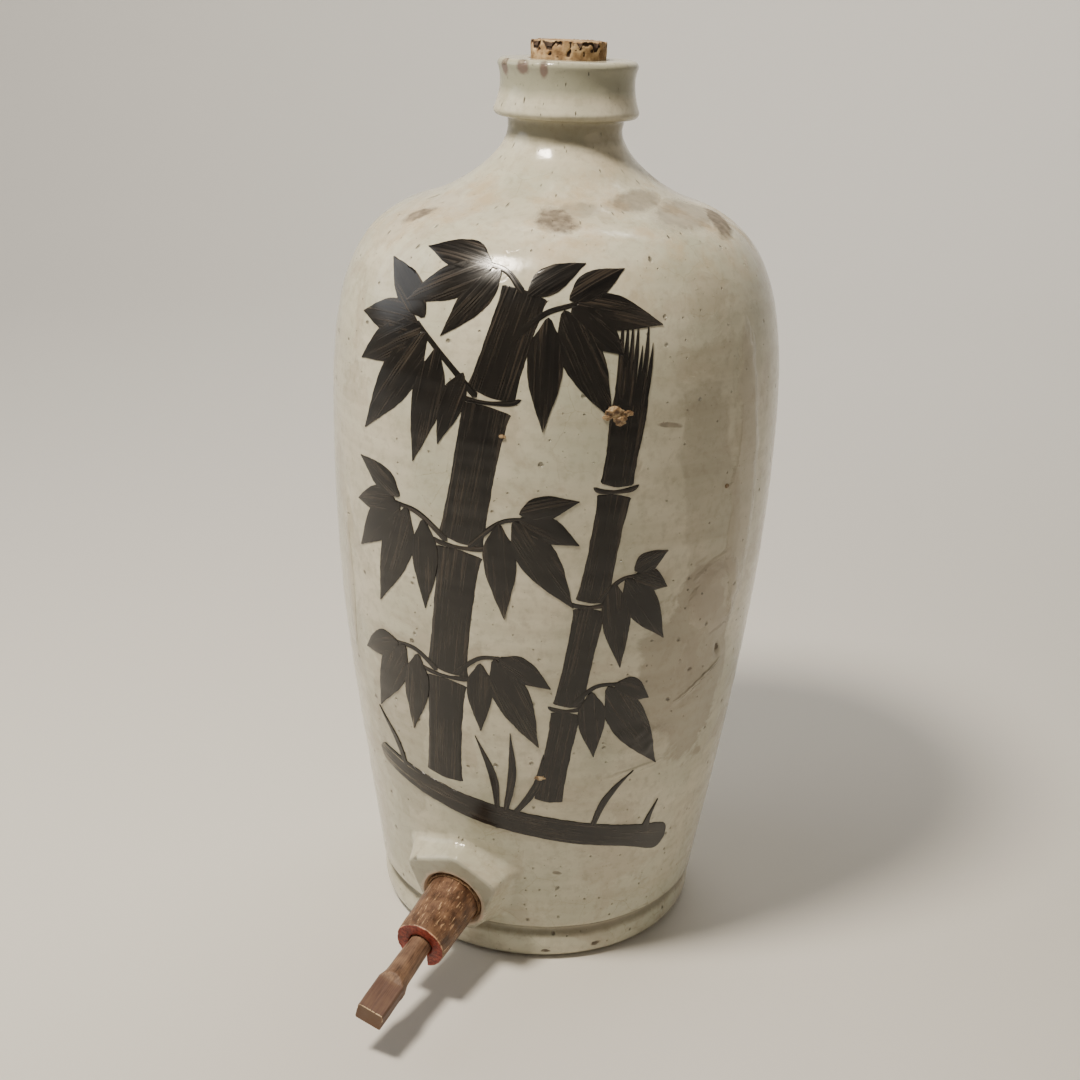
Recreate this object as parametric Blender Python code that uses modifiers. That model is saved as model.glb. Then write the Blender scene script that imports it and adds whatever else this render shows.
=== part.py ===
"""Glazed stoneware sake jar with a cork in its mouth and a wooden tap low on its front.

Metres, +Z up. The jar stands on z = 0 with its axis on Z, and the tap points toward -Y.
Run with: blender --background --python part.py
"""

import math

import bmesh
import bpy

# Fits
TOUCH_GAP = 0.0003              # left between pieces that touch
SHANK_CLEARANCE = 0.0005        # plug shank inside the barrel's bore
TURN_STEPS = 48                 # segments round a turned piece
SMALL_TURN_STEPS = 32           # segments round the tap's small pieces

# Jar, from the ground up
JAR_HEIGHT = 0.400
FOOT_FLAT_RADIUS = 0.0690       # the flat that the jar stands on
FOOT_BAND_RADIUS = 0.0775       # the rolled band above it
FOOT_BAND_HEIGHT = 0.0140
FOOT_GROOVE_DEPTH = 0.0020      # the shallow groove that sets the band off
WALL_FOOT_RADIUS = 0.0788       # the wall where it rises from the band
WALL_FOOT_HEIGHT = 0.0200
BELLY_RADIUS = 0.1008           # the widest place
BELLY_HEIGHT = 0.2450
SHOULDER_RADIUS = 0.0592        # where the shoulder's curve turns into the neck's
SHOULDER_DROP = 0.0577          # that place below the jar's top
SHOULDER_SLOPE = math.radians(15.5)
NECK_RADIUS = 0.0248            # the narrowest place
NECK_DROP = 0.0280              # that place below the jar's top
COLLAR_LIP_RADIUS = 0.0313      # the collar's flared lower edge
COLLAR_RIM_RADIUS = 0.0300      # the collar's upper edge
COLLAR_WAIST = 0.0011           # how far the collar's side draws in between them
COLLAR_HEIGHT = 0.0235
COLLAR_ROUNDING = 0.0026
WALL = 0.0075
FLOOR = 0.0100
FLOOR_FILLET = 0.0080
MOUTH_RADIUS = 0.0163           # bore that the cork sits in
MOUTH_ROUNDING = 0.0015

# Cork
CORK_ABOVE = 0.0076             # stands above the rim
CORK_LENGTH = 0.0380
CORK_TAPER = 0.0018             # smaller in radius at the lower end
CORK_EDGE = 0.0008

# Tap: its line leaves the wall at this height and leans down
TAP_HEIGHT = 0.0380
TAP_TILT = math.radians(11.5)
BOSS_PROUD = 0.0095             # boss face ahead of the wall
BOSS_ROOT = 0.0060              # boss root behind the wall's face
PACKING_THICKNESS = 0.0010
PACKING_PROUD = 0.0010          # packing seen ahead of the boss face
BARREL_RADIUS = 0.0125          # at the boss face
BARREL_TIP_RADIUS = 0.0117
BARREL_TAIL_RADIUS = 0.0120
BARREL_LENGTH_OUT = 0.0310      # ahead of the boss face
BARREL_LENGTH_IN = 0.0050       # behind the jar's inner wall
BORE_RADIUS = 0.0056
SEAT_LENGTH = 0.0180            # tapered seat at the barrel's tail
SEAT_FRONT_RADIUS = 0.0049
SEAT_TAIL_RADIUS = 0.0044
NOTCH_WIDTH = 0.0060            # pour notch under the barrel's end
NOTCH_LENGTH = 0.0120
PLUG_LENGTH_OUT = 0.0430        # ahead of the barrel's end
PLUG_TIP_INSET = 0.0010         # plug tip ahead of the barrel's tail
GRIP_WIDTH = 0.0123
GRIP_THICKNESS = 0.0096
GRIP_LENGTH = 0.0170
GRIP_SHOULDER = 0.0060          # run where the round shank turns into the flat grip
GRIP_ROOT_RADIUS = 0.0057       # the shank's radius where that run starts
GRIP_TURN = math.radians(-17)   # plug as left by hand, turned on its own axis

# Boss corners round the tap's line: angle in degrees from +X, and reach beyond the hole's edge
BOSS_FACE_CORNERS = ((36, 0.0150), (88, 0.0115), (138, 0.0138), (190, 0.0030),
                     (238, 0.0050), (297, 0.0050), (336, 0.0035))
BOSS_ROOT_CORNERS = ((18, 0.0145), (99, 0.0150), (155, 0.0200), (201, 0.0105),
                     (242, 0.0110), (288, 0.0110), (322, 0.0115))


def collection(name):
    """A new collection in the scene."""
    made = bpy.data.collections.new(name)
    bpy.context.scene.collection.children.link(made)
    return made


def material(name, colour, roughness):
    """A plain Principled material; colour is linear RGB."""
    made = bpy.data.materials.new(name)
    made.use_nodes = True
    shader = made.node_tree.nodes["Principled BSDF"]
    shader.inputs["Base Color"].default_value = (*colour, 1.0)
    shader.inputs["Roughness"].default_value = roughness
    shader.inputs["Metallic"].default_value = 0.0
    return made


def add_object(name, mesh, home, parent=None, surface=None):
    """Link a mesh into a collection, under its parent and with its material."""
    made = bpy.data.objects.new(name, mesh)
    home.objects.link(made)
    made.parent = parent
    if surface:
        mesh.materials.append(surface)
    return made


def arc(centre, radius, start, end, count):
    """Points on an arc in the profile plane, angles in degrees from +X."""
    points = []
    for step in range(count + 1):
        angle = math.radians(start + (end - start) * step / count)
        points.append((centre[0] + radius * math.cos(angle), centre[1] + radius * math.sin(angle)))
    return points


def bezier(start, handle_a, handle_b, end, count):
    """Points on a cubic curve in the profile plane, both ends included."""
    points = []
    for step in range(count + 1):
        t = step / count
        weights = ((1 - t) ** 3, 3 * t * (1 - t) ** 2, 3 * t * t * (1 - t), t ** 3)
        corners = (start, handle_a, handle_b, end)
        points.append(tuple(sum(w * c[i] for w, c in zip(weights, corners)) for i in (0, 1)))
    return points


def turned(name, profile, closed, steps, home, parent, surface):
    """A turned piece: the profile runs down its outer side and is screwed round local Z."""
    mesh = bpy.data.meshes.new(name)
    edges = [(i, i + 1) for i in range(len(profile) - 1)]
    if closed:
        edges.append((len(profile) - 1, 0))
    mesh.from_pydata([(x, 0.0, z) for x, z in profile], edges, [])
    made = add_object(name, mesh, home, parent, surface)
    screw = made.modifiers.new("turn", "SCREW")
    screw.axis = "Z"
    screw.angle = math.tau
    screw.steps = steps
    screw.render_steps = steps
    screw.use_merge_vertices = True
    screw.merge_threshold = 0.00001
    screw.use_smooth_shade = True
    return made


def lofted(name, rings, home, parent, surface=None, smooth=False):
    """A closed solid through rings of equal point counts, each wound the same way about +Z."""
    mesh = bpy.data.meshes.new(name)
    shape = bmesh.new()
    loops = [[shape.verts.new(point) for point in ring] for ring in rings]
    for low, high in zip(loops, loops[1:]):
        for i in range(len(low)):
            j = (i + 1) % len(low)
            side = shape.faces.new((low[i], low[j], high[j], high[i]))
            side.smooth = smooth
    shape.faces.new(list(reversed(loops[0])))
    shape.faces.new(loops[-1])
    shape.to_mesh(mesh)
    shape.free()
    return add_object(name, mesh, home, parent, surface)


def cylinder(name, radius, low, high, steps, home, parent):
    """A plain cylinder along local Z, between two heights."""
    mesh = bpy.data.meshes.new(name)
    shape = bmesh.new()
    bmesh.ops.create_cone(shape, cap_ends=True, segments=steps,
                          radius1=radius, radius2=radius, depth=high - low)
    bmesh.ops.translate(shape, verts=shape.verts, vec=(0.0, 0.0, (low + high) / 2))
    shape.to_mesh(mesh)
    shape.free()
    return add_object(name, mesh, home, parent)


def boolean(target, cutter, operation):
    """Join or cut a piece with another that isn't part of the model itself."""
    made = target.modifiers.new(cutter.name, "BOOLEAN")
    made.operation = operation
    made.solver = "EXACT"
    made.object = cutter
    cutter.hide_render = True
    cutter.display_type = "WIRE"


def wall_curve():
    """The jar's outer wall from the foot band up to the neck."""
    foot = (WALL_FOOT_RADIUS, WALL_FOOT_HEIGHT)
    belly = (BELLY_RADIUS, BELLY_HEIGHT)
    shoulder = (SHOULDER_RADIUS, JAR_HEIGHT - SHOULDER_DROP)
    neck = (NECK_RADIUS, JAR_HEIGHT - NECK_DROP)
    rise = belly[1] - foot[1]
    lean = math.radians(8)
    lower = bezier(foot, (foot[0] + 0.35 * rise * math.sin(lean), foot[1] + 0.35 * rise),
                   (belly[0], belly[1] - 0.38 * rise), belly, 10)
    rise = shoulder[1] - belly[1]
    run = belly[0] - shoulder[0]
    middle = bezier(belly, (belly[0], belly[1] + 0.62 * rise),
                    (shoulder[0] + 0.80 * run * math.cos(SHOULDER_SLOPE),
                     shoulder[1] - 0.80 * run * math.sin(SHOULDER_SLOPE)), shoulder, 9)
    rise = neck[1] - shoulder[1]
    run = shoulder[0] - neck[0]
    upper = bezier(shoulder, (shoulder[0] - 0.38 * run * math.cos(SHOULDER_SLOPE),
                              shoulder[1] + 0.38 * run * math.sin(SHOULDER_SLOPE)),
                   (neck[0], neck[1] - 0.40 * rise), neck, 6)
    return lower + middle[1:] + upper[1:]


def wall_radius(height):
    """The outer wall's radius at a height below the belly."""
    points = wall_curve()
    for (r0, z0), (r1, z1) in zip(points, points[1:]):
        if z0 <= height <= z1:
            return r0 + (r1 - r0) * (height - z0) / (z1 - z0)
    return FOOT_BAND_RADIUS


def inner_curve():
    """The outer wall set in by the wall's thickness, from the floor's fillet to the mouth's bore."""
    outer = wall_curve()
    padded = [outer[0]] + outer + [outer[-1]]
    points = []
    for before, here, after in zip(padded, outer, padded[2:]):
        along = (after[0] - before[0], after[1] - before[1])
        length = math.hypot(*along)
        x = here[0] - WALL * along[1] / length
        z = here[1] + WALL * along[0] / length
        if x > MOUTH_RADIUS + TOUCH_GAP and z > FLOOR + FLOOR_FILLET:
            points.append((x, z))
    return points


def jar_profile():
    """Floor centre, up the inside, over the rim, down the outside, and in to the base centre."""
    inside = inner_curve()
    fillet_centre = (inside[0][0] - FLOOR_FILLET, FLOOR + FLOOR_FILLET)
    floor = [(0.0, FLOOR)] + arc(fillet_centre, FLOOR_FILLET, -90, 0, 4)
    bore_start = [(MOUTH_RADIUS, inside[-1][1] + MOUTH_ROUNDING)]
    mouth = arc((MOUTH_RADIUS + MOUTH_ROUNDING, JAR_HEIGHT - MOUTH_ROUNDING),
                MOUTH_ROUNDING, 180, 90, 3)
    rim = arc((COLLAR_RIM_RADIUS - COLLAR_ROUNDING, JAR_HEIGHT - COLLAR_ROUNDING),
              COLLAR_ROUNDING, 90, 0, 4)
    lip_centre = (COLLAR_LIP_RADIUS - COLLAR_ROUNDING, JAR_HEIGHT - COLLAR_HEIGHT + COLLAR_ROUNDING)
    side_top = rim[-1]
    side_low = (COLLAR_LIP_RADIUS, lip_centre[1])
    third = (side_top[1] - side_low[1]) / 3
    side = bezier(side_top, (side_top[0] - COLLAR_WAIST * 2, side_top[1] - third),
                  (side_low[0] - COLLAR_WAIST * 2, side_low[1] + third), side_low, 5)
    lip = arc(lip_centre, COLLAR_ROUNDING, 0, -90, 4)
    under = [(NECK_RADIUS + TOUCH_GAP, JAR_HEIGHT - COLLAR_HEIGHT)]
    outside = list(reversed(wall_curve()))
    groove = [(FOOT_BAND_RADIUS - FOOT_GROOVE_DEPTH, FOOT_BAND_HEIGHT + FOOT_GROOVE_DEPTH)]
    band_low = (FOOT_BAND_RADIUS, FOOT_BAND_HEIGHT / 2)
    band = bezier((FOOT_BAND_RADIUS - FOOT_GROOVE_DEPTH / 2, FOOT_BAND_HEIGHT),
                  (FOOT_BAND_RADIUS, FOOT_BAND_HEIGHT * 0.8),
                  (FOOT_BAND_RADIUS, FOOT_BAND_HEIGHT * 0.6), band_low, 3)
    foot = bezier(band_low, (FOOT_BAND_RADIUS, FOOT_BAND_HEIGHT * 0.15),
                  (FOOT_BAND_RADIUS - 0.003, 0.0), (FOOT_FLAT_RADIUS, 0.0), 5)
    base = [(0.0, 0.0)]
    return (floor + inside[1:] + bore_start + mouth + rim + side[1:] + lip[1:] + under
            + outside + groove + band + foot[1:] + base)


def hole_radius():
    """The tap hole takes the barrel, the packing and a gap on each side of it."""
    return BARREL_RADIUS + TOUCH_GAP + PACKING_THICKNESS + TOUCH_GAP


def barrel_tail():
    """Where the barrel ends inside the jar, on the tap's line."""
    return -WALL - BARREL_LENGTH_IN


def barrel_tip():
    """Where the barrel ends outside, on the tap's line."""
    return BOSS_PROUD + BARREL_LENGTH_OUT


def barrel_radius(along):
    """The barrel's outer radius behind the boss face, where it tapers to wedge in the hole."""
    share = (along - barrel_tail()) / (BOSS_PROUD - barrel_tail())
    return BARREL_TAIL_RADIUS + (BARREL_RADIUS - BARREL_TAIL_RADIUS) * share


def seat_radius(along):
    """The barrel's tapered seat, where the plug shuts off the flow."""
    share = (along - barrel_tail()) / SEAT_LENGTH
    return SEAT_TAIL_RADIUS + (SEAT_FRONT_RADIUS - SEAT_TAIL_RADIUS) * share


def boss_ring(corners, along):
    """One outline of the boss across the tap's line."""
    ring = []
    for angle, reach in corners:
        distance = hole_radius() + reach
        turn = math.radians(angle)
        ring.append((distance * math.cos(turn), distance * math.sin(turn), along))
    return ring


def plug_ring(along, half_width, half_thickness, squareness):
    """One outline of the plug: a circle at squareness 2, nearly a rectangle at 8."""
    ring = []
    power = 2 / squareness
    for step in range(SMALL_TURN_STEPS):
        turn = math.tau * step / SMALL_TURN_STEPS
        x = math.copysign(abs(math.cos(turn)) ** power, math.cos(turn)) * half_width
        y = math.copysign(abs(math.sin(turn)) ** power, math.sin(turn)) * half_thickness
        ring.append((x, y, along))
    return ring


def make_jar(home, cutters, tap_line):
    """The fired jar: turned body with its collar, the boss joined on, the tap hole cut through."""
    glaze = material("glaze", (0.60, 0.58, 0.50), 0.2)
    jar = turned("jar_body", jar_profile(), False, TURN_STEPS, home, None, glaze)
    rings = [boss_ring(BOSS_ROOT_CORNERS, -BOSS_ROOT), boss_ring(BOSS_FACE_CORNERS, BOSS_PROUD)]
    boss = lofted("boss_pad", rings, cutters, tap_line)
    boolean(jar, boss, "UNION")
    hole = cylinder("tap_hole", hole_radius(), -WALL * 3, BOSS_PROUD * 3, SMALL_TURN_STEPS,
                    cutters, tap_line)
    boolean(jar, hole, "DIFFERENCE")


def make_cork(home):
    """The cork: a tapered plug that meets the bore at the rim."""
    low = JAR_HEIGHT + CORK_ABOVE - CORK_LENGTH
    rim_radius = MOUTH_RADIUS - TOUCH_GAP
    slope = CORK_TAPER / CORK_LENGTH
    bore_top = CORK_LENGTH - CORK_ABOVE - MOUTH_ROUNDING
    mesh = bpy.data.meshes.new("mouth_cork")
    shape = bmesh.new()
    bmesh.ops.create_cone(shape, cap_ends=True, segments=SMALL_TURN_STEPS,
                          radius1=rim_radius - slope * bore_top,
                          radius2=rim_radius + slope * (CORK_LENGTH - bore_top),
                          depth=CORK_LENGTH)
    bmesh.ops.translate(shape, verts=shape.verts, vec=(0.0, 0.0, CORK_LENGTH / 2))
    for face in shape.faces:
        face.smooth = len(face.verts) == 4
    shape.to_mesh(mesh)
    shape.free()
    cork = add_object("mouth_cork", mesh, home, None, material("cork", (0.33, 0.19, 0.09), 0.85))
    cork.location.z = low
    edge = cork.modifiers.new("edge", "BEVEL")
    edge.width = CORK_EDGE
    edge.segments = 2


def make_packing(home, tap_line):
    """The wound wrap between the barrel and the clay hole."""
    outer = BARREL_RADIUS + TOUCH_GAP + PACKING_THICKNESS
    front = BOSS_PROUD + PACKING_PROUD
    back = -WALL
    profile = [(outer, front), (outer, back),
               (barrel_radius(back) + TOUCH_GAP, back),
               (BARREL_RADIUS + TOUCH_GAP, BOSS_PROUD),
               (BARREL_RADIUS + TOUCH_GAP, front)]
    turned("tap_packing", profile, True, SMALL_TURN_STEPS, home, tap_line,
           material("paper", (0.42, 0.33, 0.24), 0.9))


def make_barrel(home, cutters, tap_line):
    """The barrel: a tapered tube with the plug's seat at its tail and a pour notch at its end."""
    tail = barrel_tail()
    tip = barrel_tip()
    seat_front = tail + SEAT_LENGTH
    profile = [(BARREL_TIP_RADIUS, tip), (BARREL_RADIUS, BOSS_PROUD), (BARREL_TAIL_RADIUS, tail),
               (SEAT_TAIL_RADIUS, tail), (SEAT_FRONT_RADIUS, seat_front),
               (BORE_RADIUS, seat_front + BORE_RADIUS - SEAT_FRONT_RADIUS), (BORE_RADIUS, tip)]
    barrel = turned("tap_barrel", profile, True, SMALL_TURN_STEPS, home, tap_line,
                    material("barrel_wood", (0.20, 0.10, 0.06), 0.6))
    mesh = bpy.data.meshes.new("pour_notch")
    shape = bmesh.new()
    bmesh.ops.create_cube(shape, size=1.0)
    depth = BARREL_RADIUS * 2
    bmesh.ops.scale(shape, verts=shape.verts, vec=(NOTCH_WIDTH, depth, NOTCH_LENGTH * 2))
    bmesh.ops.translate(shape, verts=shape.verts, vec=(0.0, -depth / 2, tip))
    shape.to_mesh(mesh)
    shape.free()
    notch = add_object("pour_notch", mesh, cutters, tap_line)
    boolean(barrel, notch, "DIFFERENCE")


def make_plug(home, tap_line):
    """The plug: a tapered tip in the seat, a round shank and a flattened grip."""
    tip = barrel_tail() + PLUG_TIP_INSET
    seat_front = barrel_tail() + SEAT_LENGTH
    end = barrel_tip() + PLUG_LENGTH_OUT
    grip_start = end - GRIP_LENGTH
    shank = BORE_RADIUS - SHANK_CLEARANCE
    half_width = GRIP_WIDTH / 2
    half_thickness = GRIP_THICKNESS / 2
    tip_radius = seat_radius(tip) - TOUCH_GAP
    seated_radius = SEAT_FRONT_RADIUS - TOUCH_GAP
    rings = [plug_ring(tip, tip_radius, tip_radius, 2),
             plug_ring(seat_front, seated_radius, seated_radius, 2),
             plug_ring(seat_front + BORE_RADIUS - SEAT_FRONT_RADIUS, shank, shank, 2),
             plug_ring(barrel_tip() + PLUG_TIP_INSET, shank, shank, 2),
             plug_ring(grip_start - GRIP_SHOULDER, GRIP_ROOT_RADIUS, GRIP_ROOT_RADIUS, 2),
             plug_ring(grip_start - GRIP_SHOULDER / 2, (GRIP_ROOT_RADIUS + half_width) / 2,
                       (GRIP_ROOT_RADIUS + half_thickness) / 2, 3),
             plug_ring(grip_start, half_width, half_thickness, 6),
             plug_ring(end, half_width, half_thickness, 8)]
    plug = lofted("tap_plug", rings, home, tap_line,
                  material("plug_wood", (0.28, 0.17, 0.12), 0.6), smooth=True)
    plug.rotation_euler.z = GRIP_TURN


def main():
    for old in list(bpy.data.objects):
        bpy.data.objects.remove(old, do_unlink=True)
    home = collection("sake_jar")
    cutters = collection("cutters")
    tap_line = bpy.data.objects.new("tap_line", None)
    home.objects.link(tap_line)
    tap_line.location = (0.0, -wall_radius(TAP_HEIGHT), TAP_HEIGHT)
    tap_line.rotation_euler.x = math.pi / 2 + TAP_TILT
    make_jar(home, cutters, tap_line)
    make_cork(home)
    make_packing(home, tap_line)
    make_barrel(home, cutters, tap_line)
    make_plug(home, tap_line)


main()
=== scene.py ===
import bisect
import math

import bmesh
import bpy
from mathutils import Matrix, Vector, noise


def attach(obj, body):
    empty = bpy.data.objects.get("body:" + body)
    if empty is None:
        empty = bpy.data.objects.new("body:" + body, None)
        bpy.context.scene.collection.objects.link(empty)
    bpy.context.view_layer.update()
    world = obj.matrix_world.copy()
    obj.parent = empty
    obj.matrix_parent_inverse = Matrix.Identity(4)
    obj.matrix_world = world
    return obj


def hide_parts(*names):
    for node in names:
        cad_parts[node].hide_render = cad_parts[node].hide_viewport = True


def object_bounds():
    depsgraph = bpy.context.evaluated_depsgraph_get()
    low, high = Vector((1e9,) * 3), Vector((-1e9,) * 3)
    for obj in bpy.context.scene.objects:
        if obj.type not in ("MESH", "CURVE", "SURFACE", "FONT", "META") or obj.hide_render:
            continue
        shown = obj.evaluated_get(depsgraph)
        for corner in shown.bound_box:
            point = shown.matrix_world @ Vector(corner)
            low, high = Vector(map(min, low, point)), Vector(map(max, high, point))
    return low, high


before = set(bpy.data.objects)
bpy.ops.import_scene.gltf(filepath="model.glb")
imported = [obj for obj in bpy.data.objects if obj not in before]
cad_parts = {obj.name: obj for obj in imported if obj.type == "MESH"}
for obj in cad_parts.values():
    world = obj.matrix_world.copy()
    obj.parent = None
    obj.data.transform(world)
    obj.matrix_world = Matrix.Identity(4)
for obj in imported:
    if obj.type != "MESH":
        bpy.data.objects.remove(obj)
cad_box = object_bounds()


# ---------------------------------------------------------------------------------------------
# Studio: a pale paper sweep under and all round the jar, one soft lamp high in front, a wide soft
# fill on the left, a weak warm one on the right and a wash on the paper behind. The camera stands
# a little above the jar's shoulder.

MM = 0.001


def linear(code):
    """An sRGB hex colour as a linear RGBA tuple."""
    parts = [int(code[i:i + 2], 16) / 255 for i in (1, 3, 5)]
    parts = [c / 12.92 if c <= 0.04045 else ((c + 0.055) / 1.055) ** 2.4 for c in parts]
    return (*parts, 1.0)


def add_node(tree, kind, inputs=None, **settings):
    """Add a shader node, set its properties, and give its inputs values, hex colours or links.

    A node given as an input is linked by its first output in use."""
    made = tree.nodes.new("ShaderNode" + kind)
    for key, value in settings.items():
        setattr(made, key, value)
    for key, value in (inputs or {}).items():
        if isinstance(value, bpy.types.Node):
            value = next(socket for socket in value.outputs if socket.enabled)
        if isinstance(value, bpy.types.NodeSocket):
            tree.links.new(value, made.inputs[key])
        else:
            made.inputs[key].default_value = linear(value) if isinstance(value, str) else value
    return made


def new_material(name):
    """An empty node material and its tree."""
    made = bpy.data.materials.new(name)
    made.use_nodes = True
    made.node_tree.nodes.clear()
    return made, made.node_tree


def add_piece(name, mesh, *materials):
    """Link a mesh into the scene as an object with its materials."""
    made = bpy.data.objects.new(name, mesh)
    bpy.context.scene.collection.objects.link(made)
    for item in materials:
        mesh.materials.append(item)
    return made


def soft_light(name, place, aim, size, power, colour):
    """A round soft box that looks at a point."""
    lamp = bpy.data.lights.new(name, "AREA")
    lamp.shape = "DISK"
    lamp.size = size
    lamp.energy = power
    lamp.color = linear(colour)[:3]
    made = bpy.data.objects.new(name, lamp)
    bpy.context.scene.collection.objects.link(made)
    made.location = place
    made.rotation_euler = (Vector(aim) - Vector(place)).to_track_quat("-Z", "Y").to_euler()


def finished_mesh(name, shape, closed=True):
    """The shape as a mesh, its normals turned outward where it is a closed solid."""
    if closed:
        bmesh.ops.recalc_face_normals(shape, faces=shape.faces)
    made = bpy.data.meshes.new(name)
    shape.to_mesh(made)
    shape.free()
    return made


PAPER_COLOUR = "#dedbd5"
PAPER_ROUGHNESS = 0.9
SWEEP_FLAT = 1.5                    # radius of the flat floor, in metres
SWEEP_CURVE = 1.0                   # radius of the curve up to the paper's wall
SWEEP_TOP = 2.2
SWEEP_STEPS = 96
AIR_COLOUR = "#cfd0d0"
AIR_STRENGTH = 0.15

# The paper curves up all round, so that the floor has no far edge from any side
sweep_line = [(SWEEP_FLAT * share, 0.0) for share in (0.25, 0.5, 0.75, 1.0)]
for step in range(1, 17):
    angle = math.pi / 2 * step / 16
    sweep_line.append((SWEEP_FLAT + SWEEP_CURVE * math.sin(angle), SWEEP_CURVE * (1 - math.cos(angle))))
sweep_line.append((SWEEP_FLAT + SWEEP_CURVE, SWEEP_TOP))
shape = bmesh.new()
middle = shape.verts.new((0.0, 0.0, 0.0))
sweep_rings = [[shape.verts.new((r * math.cos(math.tau * k / SWEEP_STEPS),
                                 r * math.sin(math.tau * k / SWEEP_STEPS), z))
                for k in range(SWEEP_STEPS)] for r, z in sweep_line]
for k in range(SWEEP_STEPS):
    shape.faces.new((middle, sweep_rings[0][k], sweep_rings[0][(k + 1) % SWEEP_STEPS]))
for inner, outer in zip(sweep_rings, sweep_rings[1:]):
    for k in range(SWEEP_STEPS):
        j = (k + 1) % SWEEP_STEPS
        shape.faces.new((inner[k], outer[k], outer[j], inner[j])).smooth = True
paper_sweep = finished_mesh("paper_sweep", shape, closed=False)
matte_paper, tree = new_material("matte_paper_sweep")
shader = add_node(tree, "BsdfPrincipled", {
    "Base Color": PAPER_COLOUR, "Roughness": PAPER_ROUGHNESS})
add_node(tree, "OutputMaterial", {"Surface": shader})
floor = add_piece("floor", paper_sweep, matte_paper)
floor.location.z = cad_box[0].z - 0.2 * MM

world = bpy.data.worlds.new("studio_air")
world.use_nodes = True
world.node_tree.nodes["Background"].inputs["Color"].default_value = linear(AIR_COLOUR)
world.node_tree.nodes["Background"].inputs["Strength"].default_value = AIR_STRENGTH
bpy.context.scene.world = world

soft_light("key_lamp", (-0.19, -0.42, 1.05), (0.0, 0.0, 0.25), 0.20, 14.5, "#fff3e0")
soft_light("left_fill", (-1.45, -0.45, 0.95), (0.0, 0.0, 0.20), 1.20, 6.5, "#f1f3f5")
soft_light("right_fill", (1.25, -0.15, 0.75), (0.0, 0.0, 0.20), 0.80, 0.8, "#ffe4c4")
soft_light("backdrop_wash", (-0.10, 0.95, 1.95), (-0.75, 2.40, 0.75), 1.20, 38.0, "#fbf6ee")

# The camera: a normal lens a little over 0.6 m from the jar's axis, held slightly askew
CAMERA_TURN = math.radians(24.9)
CAMERA_PITCH = math.radians(20.88)
CAMERA_ROLL = math.radians(2.15)
CAMERA_DISTANCE = 643.0 * MM
CAMERA_SIDESTEP = -4.4 * MM
CAMERA_HEIGHT = 427.4 * MM
LENS_MM = 48.2

turned_right = Vector((math.cos(CAMERA_TURN), math.sin(CAMERA_TURN), 0.0))
ahead = Vector((-math.sin(CAMERA_TURN), math.cos(CAMERA_TURN), 0.0))
view_line = ahead * math.cos(CAMERA_PITCH) - Vector((0.0, 0.0, math.sin(CAMERA_PITCH)))
upright = turned_right.cross(view_line)
right = turned_right * math.cos(CAMERA_ROLL) + upright * math.sin(CAMERA_ROLL)
above = upright * math.cos(CAMERA_ROLL) - turned_right * math.sin(CAMERA_ROLL)
camera = bpy.data.objects.new("camera", bpy.data.cameras.new("camera"))
bpy.context.scene.collection.objects.link(camera)
camera.data.lens = LENS_MM
camera.data.sensor_width = 36.0
place = turned_right * CAMERA_SIDESTEP - ahead * CAMERA_DISTANCE
camera.matrix_world = (Matrix.Translation((place.x, place.y, CAMERA_HEIGHT))
                       @ Matrix((right, above, -view_line)).transposed().to_4x4())
bpy.context.scene.camera = camera


# ---------------------------------------------------------------------------------------------
# Jar: grey-brown stoneware thrown on a wheel, with the collar thrown on, a slab of clay luted on
# low in front and cut to facets with a knife, and the whole dipped in an off-white glaze that
# fired glossy. The foot's underside, the knocks and the ring round the tap hole are bare clay.

# Heights and radii down the outside, in millimetres, as the CAD has them
JAR_TOP = 400.0
FOOT_FLAT = 69.0
BAND_RADIUS = 77.5
BAND_HEIGHT = 14.0
GROOVE_DEPTH = 2.0
WALL_FOOT = (78.8, 20.0)
BELLY = (100.8, 245.0)
SHOULDER = (59.2, 342.3)
SHOULDER_SLOPE = math.radians(15.5)
NECK = (24.8, 372.0)
COLLAR_LIP = 31.3
COLLAR_RIM = 30.0
COLLAR_LOW = 376.5
COLLAR_WAIST = 1.1
COLLAR_ROUNDING = 2.6
MOUTH_RADIUS = 16.3
MOUTH_ROUNDING = 1.5
WALL = 7.5
FLOOR = 10.0
COLUMNS = 320


def curve(start, handle_a, handle_b, end, count):
    """Points on a cubic curve, both ends included."""
    points = []
    for step in range(count + 1):
        t = step / count
        weights = ((1 - t) ** 3, 3 * t * (1 - t) ** 2, 3 * t * t * (1 - t), t ** 3)
        corners = (start, handle_a, handle_b, end)
        points.append(tuple(sum(w * c[i] for w, c in zip(weights, corners)) for i in (0, 1)))
    return points


def arc(centre, radius, start, end, count):
    """Points on an arc, angles in degrees from +X."""
    points = []
    for step in range(count + 1):
        angle = math.radians(start + (end - start) * step / count)
        points.append((centre[0] + radius * math.cos(angle), centre[1] + radius * math.sin(angle)))
    return points


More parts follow.
